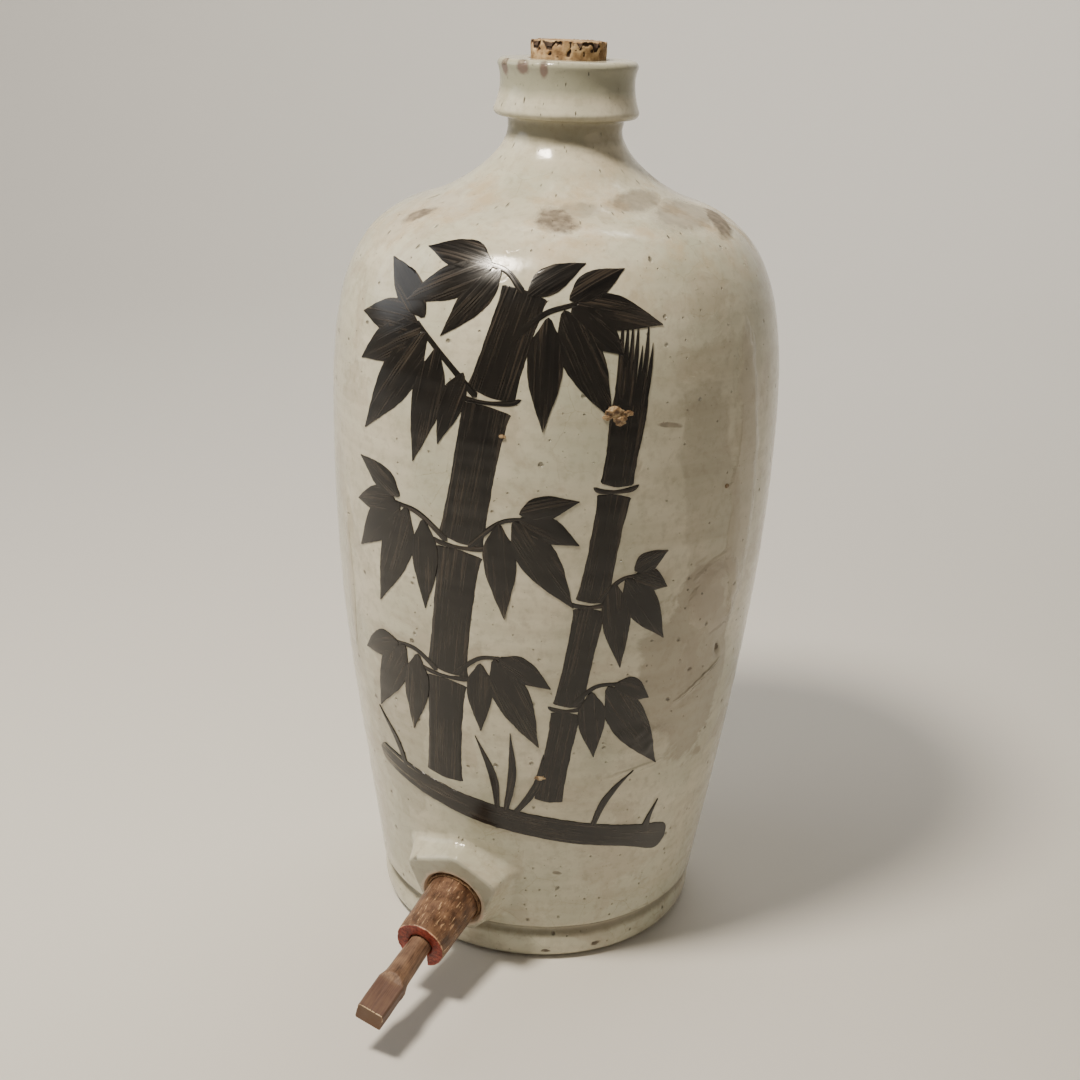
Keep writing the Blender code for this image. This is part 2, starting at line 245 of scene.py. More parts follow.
def wall_line():
    """The outer wall from the foot band up to the neck, as three curves end to end."""
    rise = BELLY[1] - WALL_FOOT[1]
    lean = math.radians(8)
    lower = curve(WALL_FOOT, (WALL_FOOT[0] + 0.35 * rise * math.sin(lean),
                              WALL_FOOT[1] + 0.35 * rise),
                  (BELLY[0], BELLY[1] - 0.38 * rise), BELLY, 100)
    rise = SHOULDER[1] - BELLY[1]
    run = BELLY[0] - SHOULDER[0]
    down = (math.cos(SHOULDER_SLOPE), math.sin(SHOULDER_SLOPE))
    middle = curve(BELLY, (BELLY[0], BELLY[1] + 0.62 * rise),
                   (SHOULDER[0] + 0.80 * run * down[0], SHOULDER[1] - 0.80 * run * down[1]),
                   SHOULDER, 64)
    rise = NECK[1] - SHOULDER[1]
    run = SHOULDER[0] - NECK[0]
    upper = curve(SHOULDER, (SHOULDER[0] - 0.38 * run * down[0], SHOULDER[1] + 0.38 * run * down[1]),
                  (NECK[0], NECK[1] - 0.40 * rise), NECK, 34)
    return lower + middle[1:] + upper[1:]


def collar_line():
    """The collar from the mouth's edge over the rim and down to the neck."""
    mouth = arc((MOUTH_RADIUS + MOUTH_ROUNDING, JAR_TOP - MOUTH_ROUNDING), MOUTH_ROUNDING, 180, 90, 4)
    flat = [(MOUTH_RADIUS + MOUTH_ROUNDING + step * 1.6, JAR_TOP) for step in range(1, 6)]
    rim = arc((COLLAR_RIM - COLLAR_ROUNDING, JAR_TOP - COLLAR_ROUNDING), COLLAR_ROUNDING, 90, 0, 6)
    low = (COLLAR_LIP, COLLAR_LOW + COLLAR_ROUNDING)
    third = (rim[-1][1] - low[1]) / 3
    side = curve(rim[-1], (rim[-1][0] - COLLAR_WAIST * 2, rim[-1][1] - third),
                 (low[0] - COLLAR_WAIST * 2, low[1] + third), low, 20)
    lip = arc((COLLAR_LIP - COLLAR_ROUNDING, low[1]), COLLAR_ROUNDING, 0, -90, 7)
    under = curve(lip[-1], (lip[-1][0] - 2.4, lip[-1][1]), (NECK[0] + 0.2, COLLAR_LOW - 0.2),
                  (NECK[0] + 0.1, COLLAR_LOW - 2.2), 5)
    return mouth + flat + rim + side[1:] + lip[1:] + under[1:]


def foot_line():
    """The groove, the rolled band and the turn under to the flat base."""
    edge = (BAND_RADIUS - GROOVE_DEPTH * 0.8, BAND_HEIGHT + 0.6)
    groove = curve(WALL_FOOT, (WALL_FOOT[0] - 0.9, WALL_FOOT[1] - 1.8),
                   (BAND_RADIUS - GROOVE_DEPTH * 1.9, BAND_HEIGHT + 2.6), edge, 7)
    band = curve(edge, (BAND_RADIUS - 0.2, BAND_HEIGHT * 0.93),
                 (BAND_RADIUS + 0.2, BAND_HEIGHT * 0.70), (BAND_RADIUS, BAND_HEIGHT / 2), 7)
    turn = curve(band[-1], (BAND_RADIUS, BAND_HEIGHT * 0.15), (BAND_RADIUS - 3.0, 0.0),
                 (FOOT_FLAT, 0.0), 8)
    return groove[1:] + band[1:] + turn[1:]


def inner_line():
    """The outer wall set in by its thickness, from the bore's foot down to the floor."""
    outer = wall_line()[::5]
    points = []
    for before, here, after in zip(outer, outer[1:], outer[2:]):
        along = (after[0] - before[0], after[1] - before[1])
        length = math.hypot(*along)
        spot = (here[0] - WALL * along[1] / length, here[1] + WALL * along[0] / length)
        if spot[0] > MOUTH_RADIUS + 0.4 and spot[1] > FLOOR + 8.5:
            points.append(spot)
    points.reverse()
    turn = arc((points[-1][0] - 8.0, FLOOR + 8.0), 8.0, 0, -90, 4)
    bore = [(MOUTH_RADIUS, height) for height in (JAR_TOP - 8.0, JAR_TOP - 16.0, JAR_TOP - 24.0)]
    return bore + points + turn


WALL_POINTS = wall_line()
OUTSIDE_UP = list(reversed(foot_line())) + WALL_POINTS
OUTSIDE_HEIGHTS = [z for r, z in OUTSIDE_UP]


def plain_radius(height):
    """The outside's radius at a height between the floor and the neck."""
    i = min(max(bisect.bisect_left(OUTSIDE_HEIGHTS, height), 1), len(OUTSIDE_UP) - 1)
    (r0, z0), (r1, z1) = OUTSIDE_UP[i - 1], OUTSIDE_UP[i]
    share = (height - z0) / (z1 - z0) if z1 > z0 else 0.0
    return r0 + (r1 - r0) * min(max(share, 0.0), 1.0)


def on_jar(radius, turn, height):
    """A place round the jar's axis in metres, its turn in radians from the tap toward +X."""
    return Vector((radius * math.sin(turn), -radius * math.cos(turn), height)) * MM


def on_line(radius, angle, z):
    """A place round local Z in metres, its angle from local +X."""
    return Vector((radius * math.cos(angle), radius * math.sin(angle), z)) * MM


def skin_over(shape, rings, capped=True, downward=False):
    """Faces from each ring to the next, and over both ends or from the last to the first."""
    count = len(rings[0])
    for low, high in zip(rings, rings[1:] + ([] if capped else rings[:1])):
        for i in range(count):
            j = (i + 1) % count
            shape.faces.new((low[i], high[i], high[j], low[j]) if downward
                            else (low[i], low[j], high[j], high[i]))
    if capped:
        ends = (rings[0], rings[-1][::-1]) if downward else (rings[0][::-1], rings[-1])
        for end in ends:
            shape.faces.new(end)


# Knocks and firing scars: turn from the tap in degrees, height, half width and half height in
# millimetres, tilt in degrees, depth in millimetres and how much bare clay shows, 0 to 1
SCARS = (
    ("shoulder scar", 22.5, 341.5, 8.5, 4.4, -8, 0.35, 0.92),
    ("its tail", 31.0, 344.5, 9.0, 2.6, 4, 0.05, 0.45),
    ("long shoulder scar", 97.0, 338.0, 17.0, 3.4, 14, 0.35, 0.95),
    ("brown cloud", 84.0, 342.0, 26.0, 6.0, 6, 0.04, 0.60),
    ("faint shoulder rub", 64.0, 347.0, 16.0, 3.4, 6, 0.06, 0.62),
    ("left shoulder scar", -34.0, 338.0, 6.2, 2.8, 20, 0.40, 0.92),
    ("high chip", 52.0, 267.0, 5.5, 1.1, -10, 0.35, 0.70),
    ("pit", 76.5, 157.0, 1.7, 2.3, 0, 1.70, 1.00),
    ("lower pit", 66.0, 152.0, 1.4, 0.9, 0, 0.90, 1.00),
    ("foot pit", 47.0, 7.0, 2.4, 1.2, 10, 0.90, 1.00),
    ("second foot pit", 29.0, 5.0, 2.2, 0.8, 0, 0.80, 1.00),
    ("boss side pit", 31.0, 52.0, 2.0, 0.9, -10, 0.60, 0.70),
    ("glaze skip", 150.0, 60.0, 16.0, 9.0, 12, 0.30, 0.55),
    ("back rub", 205.0, 262.0, 9.0, 18.0, 8, 0.15, 0.30),
)
# Glaze that ran or settled thick: the same, but it stands out
RUNS = (
    ("side run", 79.0, 236.0, 8.0, 60.0, 3, -0.55),
    ("run's foot", 73.0, 184.0, 14.0, 15.0, 8, -0.70),
    ("left drip", -39.0, 176.0, 3.2, 34.0, -2, -0.50),
    ("back run", 190.0, 130.0, 6.0, 55.0, -3, -0.55),
)
# Ridges and dents under the glaze: the same, and how far each stands out or in
RIDGES = (
    ("oval mark's rim", 50.0, 121.0, 18.0, 7.0, 6, 0.60),
    ("long scratch", 70.5, 144.0, 16.0, 1.5, 24, 0.70),
    ("stroke under the mark", 52.0, 106.0, 15.0, 1.5, 8, 0.35),
    ("dent by the scratch", 70.5, 140.6, 15.0, 1.6, 24, -0.60),
    ("right low dent", 62.0, 88.0, 8.0, 1.6, 22, -0.45),
    ("low dimple", 84.0, 100.0, 6.0, 1.8, 30, -0.45),
    ("left crack", -36.5, 213.0, 1.4, 15.0, 14, -0.50),
    ("upper left nick", -30.0, 292.0, 4.0, 1.0, 6, -0.40),
    ("left nick", -33.0, 232.0, 1.2, 6.0, -24, -0.45),
    ("back dent", 214.0, 180.0, 12.0, 3.0, 10, -0.50),
)
# Darker washes in the glaze with firm edges: the same as the knocks, with no depth to them
STAINS = (
    ("low right wash", 66.0, 150.0, 26.0, 40.0, 6, 0.0, 0.58),
    ("wash along the run", 66.0, 232.0, 14.0, 50.0, 10, 0.0, 0.30),
    ("low left wash", -22.0, 112.0, 16.0, 40.0, -4, 0.0, 0.30),
    ("back wash", 196.0, 200.0, 30.0, 62.0, 10, 0.0, 0.36),
)
RING_PITCH = 9.0        # throwing rings, as the fingers left them
RING_DEPTH = 0.16
WARP = 0.55             # how far the wall wanders from round
PATCH = 14.0            # the size of small unevennesses in the glaze
PATCH_DEPTH = 0.10
MEAN_RADIUS = 92.0      # turns angles into millimetres round the wall


def within(mark, turn, height):
    """How far out a place lies in a mark's ellipse: 0 at its middle, 1 at its edge."""
    aside = (turn - math.radians(mark[1]) + math.pi) % math.tau - math.pi
    across = aside * MEAN_RADIUS
    if abs(across) > 80.0 or abs(height - mark[2]) > 80.0:
        return 9.0
    tilt = math.radians(mark[5])
    along = across * math.cos(tilt) + (height - mark[2]) * math.sin(tilt)
    up = (height - mark[2]) * math.cos(tilt) - across * math.sin(tilt)
    return math.hypot(along / mark[3], up / mark[4])


def unevenness(turn, height):
    """Millimetres that the hand-thrown, glazed wall stands off its plain radius."""
    x, y = math.cos(turn), math.sin(turn)
    off = WARP * noise.noise((x * 1.3, y * 1.3, height / 110.0))
    off += RING_DEPTH * noise.noise((x * 0.9, y * 0.9 + 7.0, height / RING_PITCH * 2.0))
    spot = (x * 95.0 / PATCH, y * 95.0 / PATCH, height / PATCH)
    off += PATCH_DEPTH * noise.noise(spot)
    for mark in SCARS:
        reach = within(mark, turn, height)
        if reach < 1.4:
            reach += 0.30 * noise.noise((x * 30.0, y * 30.0, height / 3.0))
            off -= mark[6] * min(1.0, max(0.0, (1.1 - reach) / 0.35))
    for mark in RUNS:
        reach = within(mark, turn, height)
        if reach < 1.4:
            reach += 0.22 * noise.noise((x * 14.0, y * 14.0, height / 7.0))
            off -= mark[6] * min(1.0, max(0.0, (1.12 - reach) / 0.22))
    for mark in RIDGES:
        reach = within(mark, turn, height)
        if reach < 1.5:
            swell = min(1.0, max(0.0, (1.3 - reach) / 0.6))
            if mark[4] > 5.0 and mark[3] > 5.0:
                swell *= 0.35 + 0.65 * min(1.0, reach) + 1.1 * noise.noise(
                    (x * 32.0, y * 32.0, height / 2.6))
            off += mark[6] * swell
    return off


def jar_spot(turn, height, lift=0.0):
    """A place on the outer wall in metres; turn is from the tap toward +X."""
    radius = plain_radius(height) + unevenness(turn, height) + lift
    return on_jar(radius, turn, height)


# Chips out of the collar's rim: turn in degrees, height, how far out the bite's centre lies, size
CHIPS = (
    (-16.0, 401.6, 31.2, 3.2),
    (5.0, 401.4, 31.3, 2.9),
    (-38.0, 400.6, 31.6, 3.2),
    (36.0, 401.6, 31.4, 2.5),
    (55.0, 401.5, 31.5, 2.6),
    (171.0, 400.9, 31.2, 2.6),
)
# Mauve spots below the rim where glaze pulled away from the clay: turn, height, half sizes
PULLED = ((-38.0, 396.8, 2.6, 3.0), (-14.5, 397.2, 2.9, 2.5), (5.0, 396.6, 1.7, 2.8),
          (150.0, 396.0, 2.8, 2.8))


def bite(spot):
    """Push a place on the rim in to the surface of each chip that would hold it."""
    for turn, height, out, size in CHIPS:
        angle = math.radians(turn)
        centre = on_jar(out, angle, height)
        away = spot - centre
        reach = size * MM * (1.0 + 0.25 * noise.noise(spot * 700.0))
        if 0.0 < away.length < reach:
            spot = centre + away.normalized() * reach
    return spot


def jar_shell():
    """The jar without its boss: outside and inside in one closed skin, turned by columns."""
    rows = [(r, z, "collar") for r, z in collar_line()]
    rows += [(r, z, "wall") for r, z in WALL_POINTS[::-1] + foot_line()]
    rows += [(FOOT_FLAT * share, 0.0, "base") for share in (0.8, 0.5, 0.2)]
    shape = bmesh.new()
    rings = []
    for r, z, kind in rows:
        ring = []
        for column in range(COLUMNS):
            turn = math.tau * column / COLUMNS
            if kind == "wall":
                fade = min(1.0, z / 6.0) * min(1.0, (JAR_TOP - z) / 30.0)
                radius = r + unevenness(turn, z) * fade
                spot = on_jar(radius, turn, z)
            else:
                wobble = 0.22 * noise.noise((math.cos(turn) * 1.6, math.sin(turn) * 1.6, z / 14.0))
                radius = r + (wobble if kind == "collar" else 0.0)
                lift = 0.25 * noise.noise((math.cos(turn) * 1.9, math.sin(turn) * 1.9, 3.0))
                height = z + (lift if kind == "collar" and z > JAR_TOP - 3.0 else 0.0)
                spot = on_jar(radius, turn, height)
                if kind == "collar":
                    spot = bite(spot)
            ring.append(shape.verts.new(spot))
        rings.append(ring)
    inner = [[shape.verts.new(on_jar(r, math.tau * column / COLUMNS, z))
              for column in range(COLUMNS)] for r, z in inner_line()]
    loops = list(reversed(inner)) + rings
    skin_over(shape, loops, downward=True)
    return finished_mesh("jar", shape)


# The tap's line: it leaves the wall at this height and leans down, and all of the tap and the
# boss are made along it, with local +Z out along the line and local +X to the jar's +X
TAP_HEIGHT = 38.0
TAP_TILT = math.radians(11.5)
HOLE_RADIUS = 14.1
BOSS_PROUD = 9.5
tap_frame = (Matrix.Translation((0.0, -plain_radius(TAP_HEIGHT) * MM, TAP_HEIGHT * MM))
             @ Matrix.Rotation(math.pi / 2 + TAP_TILT, 4, "X"))

# Corners of the knife-cut boss round the hole: angle in degrees, reach beyond the hole's edge
BOSS_FACE = ((31, 12.8), (84, 11.2), (145, 14.0), (190, 3.0), (238, 5.0), (297, 5.0), (320, 3.2))
BOSS_ROOT = ((26, 16.0), (94, 12.9), (151, 19.0), (200, 9.0), (240, 7.6), (290, 7.6), (324, 9.0))
BOSS_POINTS = 180


def outline(corners, softness):
    """Distances from the hole's middle round a straight-sided outline, its corners rounded."""
    spots = [((HOLE_RADIUS + reach) * math.cos(math.radians(angle)),
              (HOLE_RADIUS + reach) * math.sin(math.radians(angle))) for angle, reach in corners]
    plain = []
    for step in range(BOSS_POINTS):
        angle = math.tau * step / BOSS_POINTS
        ray = (math.cos(angle), math.sin(angle))
        best = 99.0
        for (x0, y0), (x1, y1) in zip(spots, spots[1:] + spots[:1]):
            edge = (x1 - x0, y1 - y0)
            cross = ray[0] * edge[1] - ray[1] * edge[0]
            if abs(cross) > 1e-9:
                along = (x0 * edge[1] - y0 * edge[0]) / cross
                share = (x0 * ray[1] - y0 * ray[0]) / cross
                if along > 0 and -1e-6 <= share <= 1 + 1e-6:
                    best = min(best, along)
        plain.append(best)
    width = max(1, round(softness / 360 * BOSS_POINTS))
    for _ in range(2):
        plain = [sum(plain[(i + k) % BOSS_POINTS] for k in range(-width, width + 1))
                 / (2 * width + 1) for i in range(BOSS_POINTS)]
    return plain


def wall_depth(x, y):
    """How far along the tap's line the wall's face lies, beside the line by x and y."""
    low, high = -30.0, 20.0
    for _ in range(24):
        middle = (low + high) / 2
        spot = tap_frame @ (Vector((x, y, middle)) * MM) / MM
        turn = math.atan2(spot.x, -spot.y)
        outside = math.hypot(spot.x, spot.y) > plain_radius(spot.z) + unevenness(turn, spot.z)
        if outside:
            high = middle
        else:
            low = middle
    return (low + high) / 2


def boss_block():
    """The luted slab: a flat cut face, steep facets, and a wet-clay fillet onto the wall."""
    face = outline(BOSS_FACE, 3)
    root = outline(BOSS_ROOT, 5)
    shape = bmesh.new()
    rings = [[] for _ in range(18)]
    for step in range(BOSS_POINTS):
        angle = math.tau * step / BOSS_POINTS
        x, y = math.cos(angle), math.sin(angle)
        edge = face[step]
        foot = max(root[step], edge + 0.8)
        foot_depth = wall_depth(foot * x, foot * y)
        end = foot + 3.6
        end_depth = wall_depth(end * x, end * y) - 0.25
        cut = 0.35 * noise.noise((x * 1.4, y * 1.4, 2.0))
        section = [(edge * 0.45, BOSS_PROUD + cut * 0.3), (edge * 0.72, BOSS_PROUD + cut * 0.7)]
        section += [(edge - 1.6, BOSS_PROUD + cut), (edge - 0.8, BOSS_PROUD + cut - 0.08),
                    (edge - 0.25, BOSS_PROUD + cut - 0.38), (edge + 0.1, BOSS_PROUD + cut - 0.95)]
        top = section[-1]
        start = (top[0] + (foot - top[0]) * 0.66, top[1] + (foot_depth - top[1]) * 0.66)
        section.append(((top[0] * 2 + start[0]) / 3, (top[1] * 2 + start[1]) / 3))
        section.append(((top[0] + start[0] * 2) / 3, (top[1] + start[1] * 2) / 3))
        for k in range(7):
            t = k / 6
            section.append(tuple((1 - t) ** 2 * a + 2 * t * (1 - t) * b + t * t * c
                                 for a, b, c in zip(start, (foot, foot_depth), (end, end_depth))))
        section += [(end - 1.2, end_depth - 2.2), (end * 0.75, min(end_depth - 2.6, -3.0)),
                    (end * 0.4, -4.0)]
        for ring, (distance, depth) in zip(rings, section):
            grain = 0.12 * noise.noise((x * 9.0, y * 9.0, depth / 3.0)) if depth > 0.5 else 0.0
            ring.append(shape.verts.new(Vector(((distance + grain) * x, (distance + grain) * y,
                                                depth)) * MM))
    skin_over(shape, rings, downward=True)
    shape.transform(tap_frame)
    return finished_mesh("boss_block", shape)


def turned_mesh(name, profile, steps, wobble=None, capped=False):
    """A solid turned round local Z from (r, z) points in millimetres: a closed ring or capped."""
    shape = bmesh.new()
    rings = []
    for r, z in profile:
        ring = []
        for step in range(steps):
            angle = math.tau * step / steps
            radius = r + (wobble(angle, r, z) if wobble else 0.0)
            ring.append(shape.verts.new(on_line(radius, angle, z)))
        rings.append(ring)
    skin_over(shape, rings, capped)
    return finished_mesh(name, shape)


def join_and_cut(piece, other, operation):
    """Join or cut a piece with another mesh for good, and drop the other."""
    tool = add_piece("tool", other)
    step = piece.modifiers.new("cut", "BOOLEAN")
    step.operation = operation
    step.solver = "EXACT"
    step.object = tool
    graph = bpy.context.evaluated_depsgraph_get()
    result = bpy.data.meshes.new_from_object(piece.evaluated_get(graph))
    piece.modifiers.clear()
    old = piece.data
    result.name = old.name + "_cut"
    piece.data = result
    bpy.data.meshes.remove(old)
    bpy.data.objects.remove(tool)
    bpy.data.meshes.remove(other)


def smooth_shade(piece, angle):
    """Smooth the piece's faces, and keep edges sharper than an angle in degrees."""
    piece.data.polygons.foreach_set("use_smooth", [True] * len(piece.data.polygons))
    piece.data.set_sharp_from_angle(angle=math.radians(angle))


# Feldspar glaze over stoneware, dipped and fired glossy: a milky off-white with a breath of
# green, thin and tan where it slid off the shoulder, peppered with iron specks and pinholes.
GLAZE_CREAM = "#d3cdb9"
GLAZE_GREEN = "#b8b8a4"
GLAZE_TAN = "#b3a07e"
GLAZE_PINK = "#ab9f8b"
SPECK_BROWN = "#43372b"
CLAY_BROWN = "#897e6d"
CLAY_DARK = "#5c5144"
MAUVE = "#726059"
BLUSH = "#c7a48b"
CURDLED_GLAZE = "#9f9884"
THICK_GLAZE = "#ada58e"
WASH_GREY = "#8c8271"
RUN_PALE = "#b2a898"
CRAZE_BROWN = "#8b8069"
# painted shade for the boss's cut face
BOSS_FACE_SHADE = "#8d8e82"
GLAZE_ROUGHNESS = 0.15

# Where glaze pooled grey, the grey in the foot's groove and under the collar's lip being painted shade as
# well: lowest and highest height, fade beyond them, share and colour
POOLED_GLAZE_AND_SHADE = ((16.5, 19.5, 2.2, 0.60, "#77705f"), (371.0, 378.5, 2.5, 0.60, "#7d7966"),
         (391.0, 400.5, 4.0, 0.75, "#8b8d7b"))
# Specks and pinholes: spacing, size, how rare from 0 to 1, colour and depth of the dimple
SPECKS = ((15.0, 1.15, 0.60, SPECK_BROWN, -1.1), (8.0, 0.55, 0.62, "#5f5241", -0.75),
          (3.6, 0.24, 0.66, "#7f7059", -0.30))
FINE_RIDGES = RIDGES[:3]            # too fine for the mesh, so they are in the relief as well
MARK_THICKNESS = 14.0               # how deep a mark's ellipsoid reaches into the wall
MARK_RAGGED = 0.9
MARK_EDGE = 1.62


def lay_tints(tree, colour, layers):
    """Lay tints over a colour, each where its source runs from a low value to a high one.

    A layer is (source, low, high, share, tint); returns the colour and the layers' shares."""
    shares = []
    for source, low, high, share, tint in layers:
        shares.append(add_node(tree, "MapRange", {
            "Value": source, "From Min": low, "From Max": high, "To Max": share}))
        colour = add_node(tree, "Mix", {0: shares[-1], 6: colour, 7: tint}, data_type="RGBA")
    return colour, shares


def mark_mask(tree, position, mark, grain, soft=0.40, radius=None):
    """A mark's strength inside its ragged ellipse on the wall, and 0 outside."""
    turn = math.radians(mark[1])
    radius = radius or plain_radius(mark[2])
    centre = on_jar(radius, turn, mark[2])
    local = add_node(tree, "Mapping", {
        "Vector": position, "Location": centre,
        "Rotation": (0.0, -math.radians(mark[5]), turn),
        "Scale": (mark[3] * MM, MARK_THICKNESS * MM, mark[4] * MM)}, vector_type="TEXTURE")
    reach = add_node(tree, "VectorMath", {0: local}, operation="LENGTH")
    ragged = add_node(tree, "Math", {0: grain, 1: MARK_RAGGED, 2: reach},
                      operation="MULTIPLY_ADD")
    return add_node(tree, "MapRange", {
        "Value": ragged, "From Min": MARK_EDGE, "From Max": MARK_EDGE - soft,
        "To Min": 0.0, "To Max": mark[7]})


def glaze_material():
    """The jar's whole skin: glaze, specks, craze lines, bare knocks and the blushed tap ring."""
    made, tree = new_material("glazed_stoneware")
    position = add_node(tree, "TexCoord").outputs["Object"]
    split = add_node(tree, "SeparateXYZ", {0: position})
    cloud = add_node(tree, "TexNoise", {
        "Vector": position, "Scale": 1 / (55 * MM), "Detail": 4.0, "Roughness": 0.55})
    grain = add_node(tree, "TexNoise", {
        "Vector": position, "Scale": 1 / (4 * MM), "Detail": 5.0, "Roughness": 0.62})

    # Clouds of green in the cream, bands that the throwing rings leave as the glaze lies thick
    # and thin over them, pinkish-grey stains with firm edges, and a fine curdled mottle
    banded = add_node(tree, "Mapping", {
        "Vector": position, "Scale": (1 / (90 * MM), 1 / (90 * MM), 1 / (6 * MM))})
    bands = add_node(tree, "TexNoise", {"Vector": banded, "Scale": 1.0, "Detail": 3.0})
    stained = add_node(tree, "TexNoise", {
        "Vector": position, "Scale": 1 / (38 * MM), "Detail": 6.0, "Roughness": 0.58,
        "Distortion": 0.6})
    colour, (_, _, stain, _) = lay_tints(tree, GLAZE_CREAM, (
        (cloud, 0.36, 0.66, 1.0, GLAZE_GREEN), (bands, 0.42, 0.72, 0.42, THICK_GLAZE),
        (stained, 0.545, 0.60, 0.40, GLAZE_PINK), (grain, 0.48, 0.70, 0.45, CURDLED_GLAZE)))

    # Broad washes, and the runs lying over them with firm edges
    ragged_edge = add_node(tree, "Math", {0: stained, 1: 2.6, 2: -0.8}, operation="MULTIPLY_ADD")
    for mark in STAINS:
        washed = mark_mask(tree, position, mark, ragged_edge, 0.12)
        colour = add_node(tree, "Mix", {0: washed, 6: colour, 7: WASH_GREY}, data_type="RGBA")
    raised = None
    for mark in RUNS:
        run = mark_mask(tree, position, mark + (0.45,), ragged_edge, 0.20)
        colour = add_node(tree, "Mix", {0: run, 6: colour, 7: RUN_PALE}, data_type="RGBA")
        raised = run if raised is None else add_node(
            tree, "Math", {0: raised, 1: run}, operation="ADD")
    for mark in FINE_RIDGES:
        ridge = mark_mask(tree, position, mark + (mark[6],), grain, 0.60)
        raised = add_node(tree, "Math", {0: raised, 1: ridge}, operation="ADD")

    # Thin tan glaze over the shoulder, patchy where it slid
    high = add_node(tree, "MapRange", {
        "Value": split.outputs[2], "From Min": 305 * MM, "From Max": 335 * MM})
    low = add_node(tree, "MapRange", {
        "Value": split.outputs[2], "From Min": 366 * MM, "From Max": 352 * MM})
    patchy = add_node(tree, "TexNoise", {
        "Vector": position, "Scale": 1 / (17 * MM), "Detail": 6.0, "Roughness": 0.65})
    patches = add_node(tree, "MapRange", {
        "Value": patchy, "From Min": 0.47, "From Max": 0.66, "To Max": 0.70})
    zone = add_node(tree, "Math", {0: high, 1: low}, operation="MULTIPLY")
    slid = add_node(tree, "Math", {0: zone, 1: patches}, operation="MULTIPLY")
    colour = add_node(tree, "Mix", {0: slid, 6: colour, 7: GLAZE_TAN}, data_type="RGBA")

    # Glaze pooled greyer below the collar's rim, and in the foot's groove and under the collar's lip,
    # where the grey is painted shade as well
    wandering = add_node(tree, "Math", {0: patchy, 1: 5 * MM, 2: split.outputs[2]},
                         operation="MULTIPLY_ADD")
    for low_edge, high_edge, fade, share, tint in POOLED_GLAZE_AND_SHADE:
        rises = add_node(tree, "MapRange", {
            "Value": wandering, "From Min": (low_edge - fade) * MM, "From Max": low_edge * MM})
        falls = add_node(tree, "MapRange", {
            "Value": wandering, "From Min": (high_edge + fade) * MM, "From Max": high_edge * MM,
            "To Max": share})
        pooled_and_shaded = add_node(tree, "Math", {0: rises, 1: falls}, operation="MULTIPLY")
        colour = add_node(tree, "Mix", {0: pooled_and_shaded, 6: colour, 7: tint}, data_type="RGBA")

    # Iron specks and pinholes, one candidate in each cell and most of them left out
    dimples = []
    round_turn = add_node(tree, "Math", {0: split.outputs[0], 1: split.outputs[1]},
                          operation="ARCTAN2")
    unrolled = add_node(tree, "CombineXYZ", {
        0: add_node(tree, "Math", {0: round_turn, 1: MEAN_RADIUS * MM},
                    operation="MULTIPLY"), 1: split.outputs[2]})
    strayed = add_node(tree, "VectorMath", {
        0: grain.outputs["Color"], 1: (1.2 * MM,) * 3, 2: unrolled}, operation="MULTIPLY_ADD")
    for cell, size, rarity, tint, depth in SPECKS:
        dots = add_node(tree, "TexVoronoi", {
            "Vector": strayed, "Scale": 1 / (cell * MM)}, voronoi_dimensions="2D")
        chance = add_node(tree, "SeparateColor", {0: dots.outputs["Color"]})
        kept = add_node(tree, "MapRange", {
            "Value": chance, "From Min": rarity, "From Max": 1.0,
            "To Max": size / cell})
        near = add_node(tree, "Math", {0: kept, 1: dots.outputs["Distance"]},
                        operation="SUBTRACT")
        dot = add_node(tree, "MapRange", {"Value": near, "From Min": -0.012, "From Max": 0.035})
        colour, _ = lay_tints(tree, colour, ((near, 0.012, 0.045, 0.65, tint),))
        dimples.append((dot, depth))

    # Craze lines, faint and only in places
    bent = add_node(tree, "VectorMath", {
        0: grain.outputs["Color"], 1: (3 * MM,) * 3, 2: position}, operation="MULTIPLY_ADD")
    cracks = add_node(tree, "TexVoronoi", {
        "Vector": bent, "Scale": 1 / (16 * MM)}, feature="DISTANCE_TO_EDGE")
    line = add_node(tree, "MapRange", {
        "Value": cracks.outputs["Distance"], "From Min": 0.012, "From Max": 0.003})
    some = add_node(tree, "MapRange", {
        "Value": cloud, "From Min": 0.50, "From Max": 0.64, "To Max": 0.35})
    craze = add_node(tree, "Math", {0: line, 1: some}, operation="MULTIPLY")
    colour = add_node(tree, "Mix", {0: craze, 6: colour, 7: CRAZE_BROWN}, data_type="RGBA")

    # Mauve where the glaze pulled away below the rim
    pulled = None
    for turn, height, wide, tall in PULLED:
        mark = ("pulled", turn, height, wide * 1.15, tall * 1.15, 0, 0, 0.92)
        mask = mark_mask(tree, position, mark, grain, 0.45, 30.3)
        pulled = mask if pulled is None else add_node(
            tree, "Math", {0: pulled, 1: mask}, operation="MAXIMUM")
    colour = add_node(tree, "Mix", {0: pulled, 6: colour, 7: MAUVE}, data_type="RGBA")

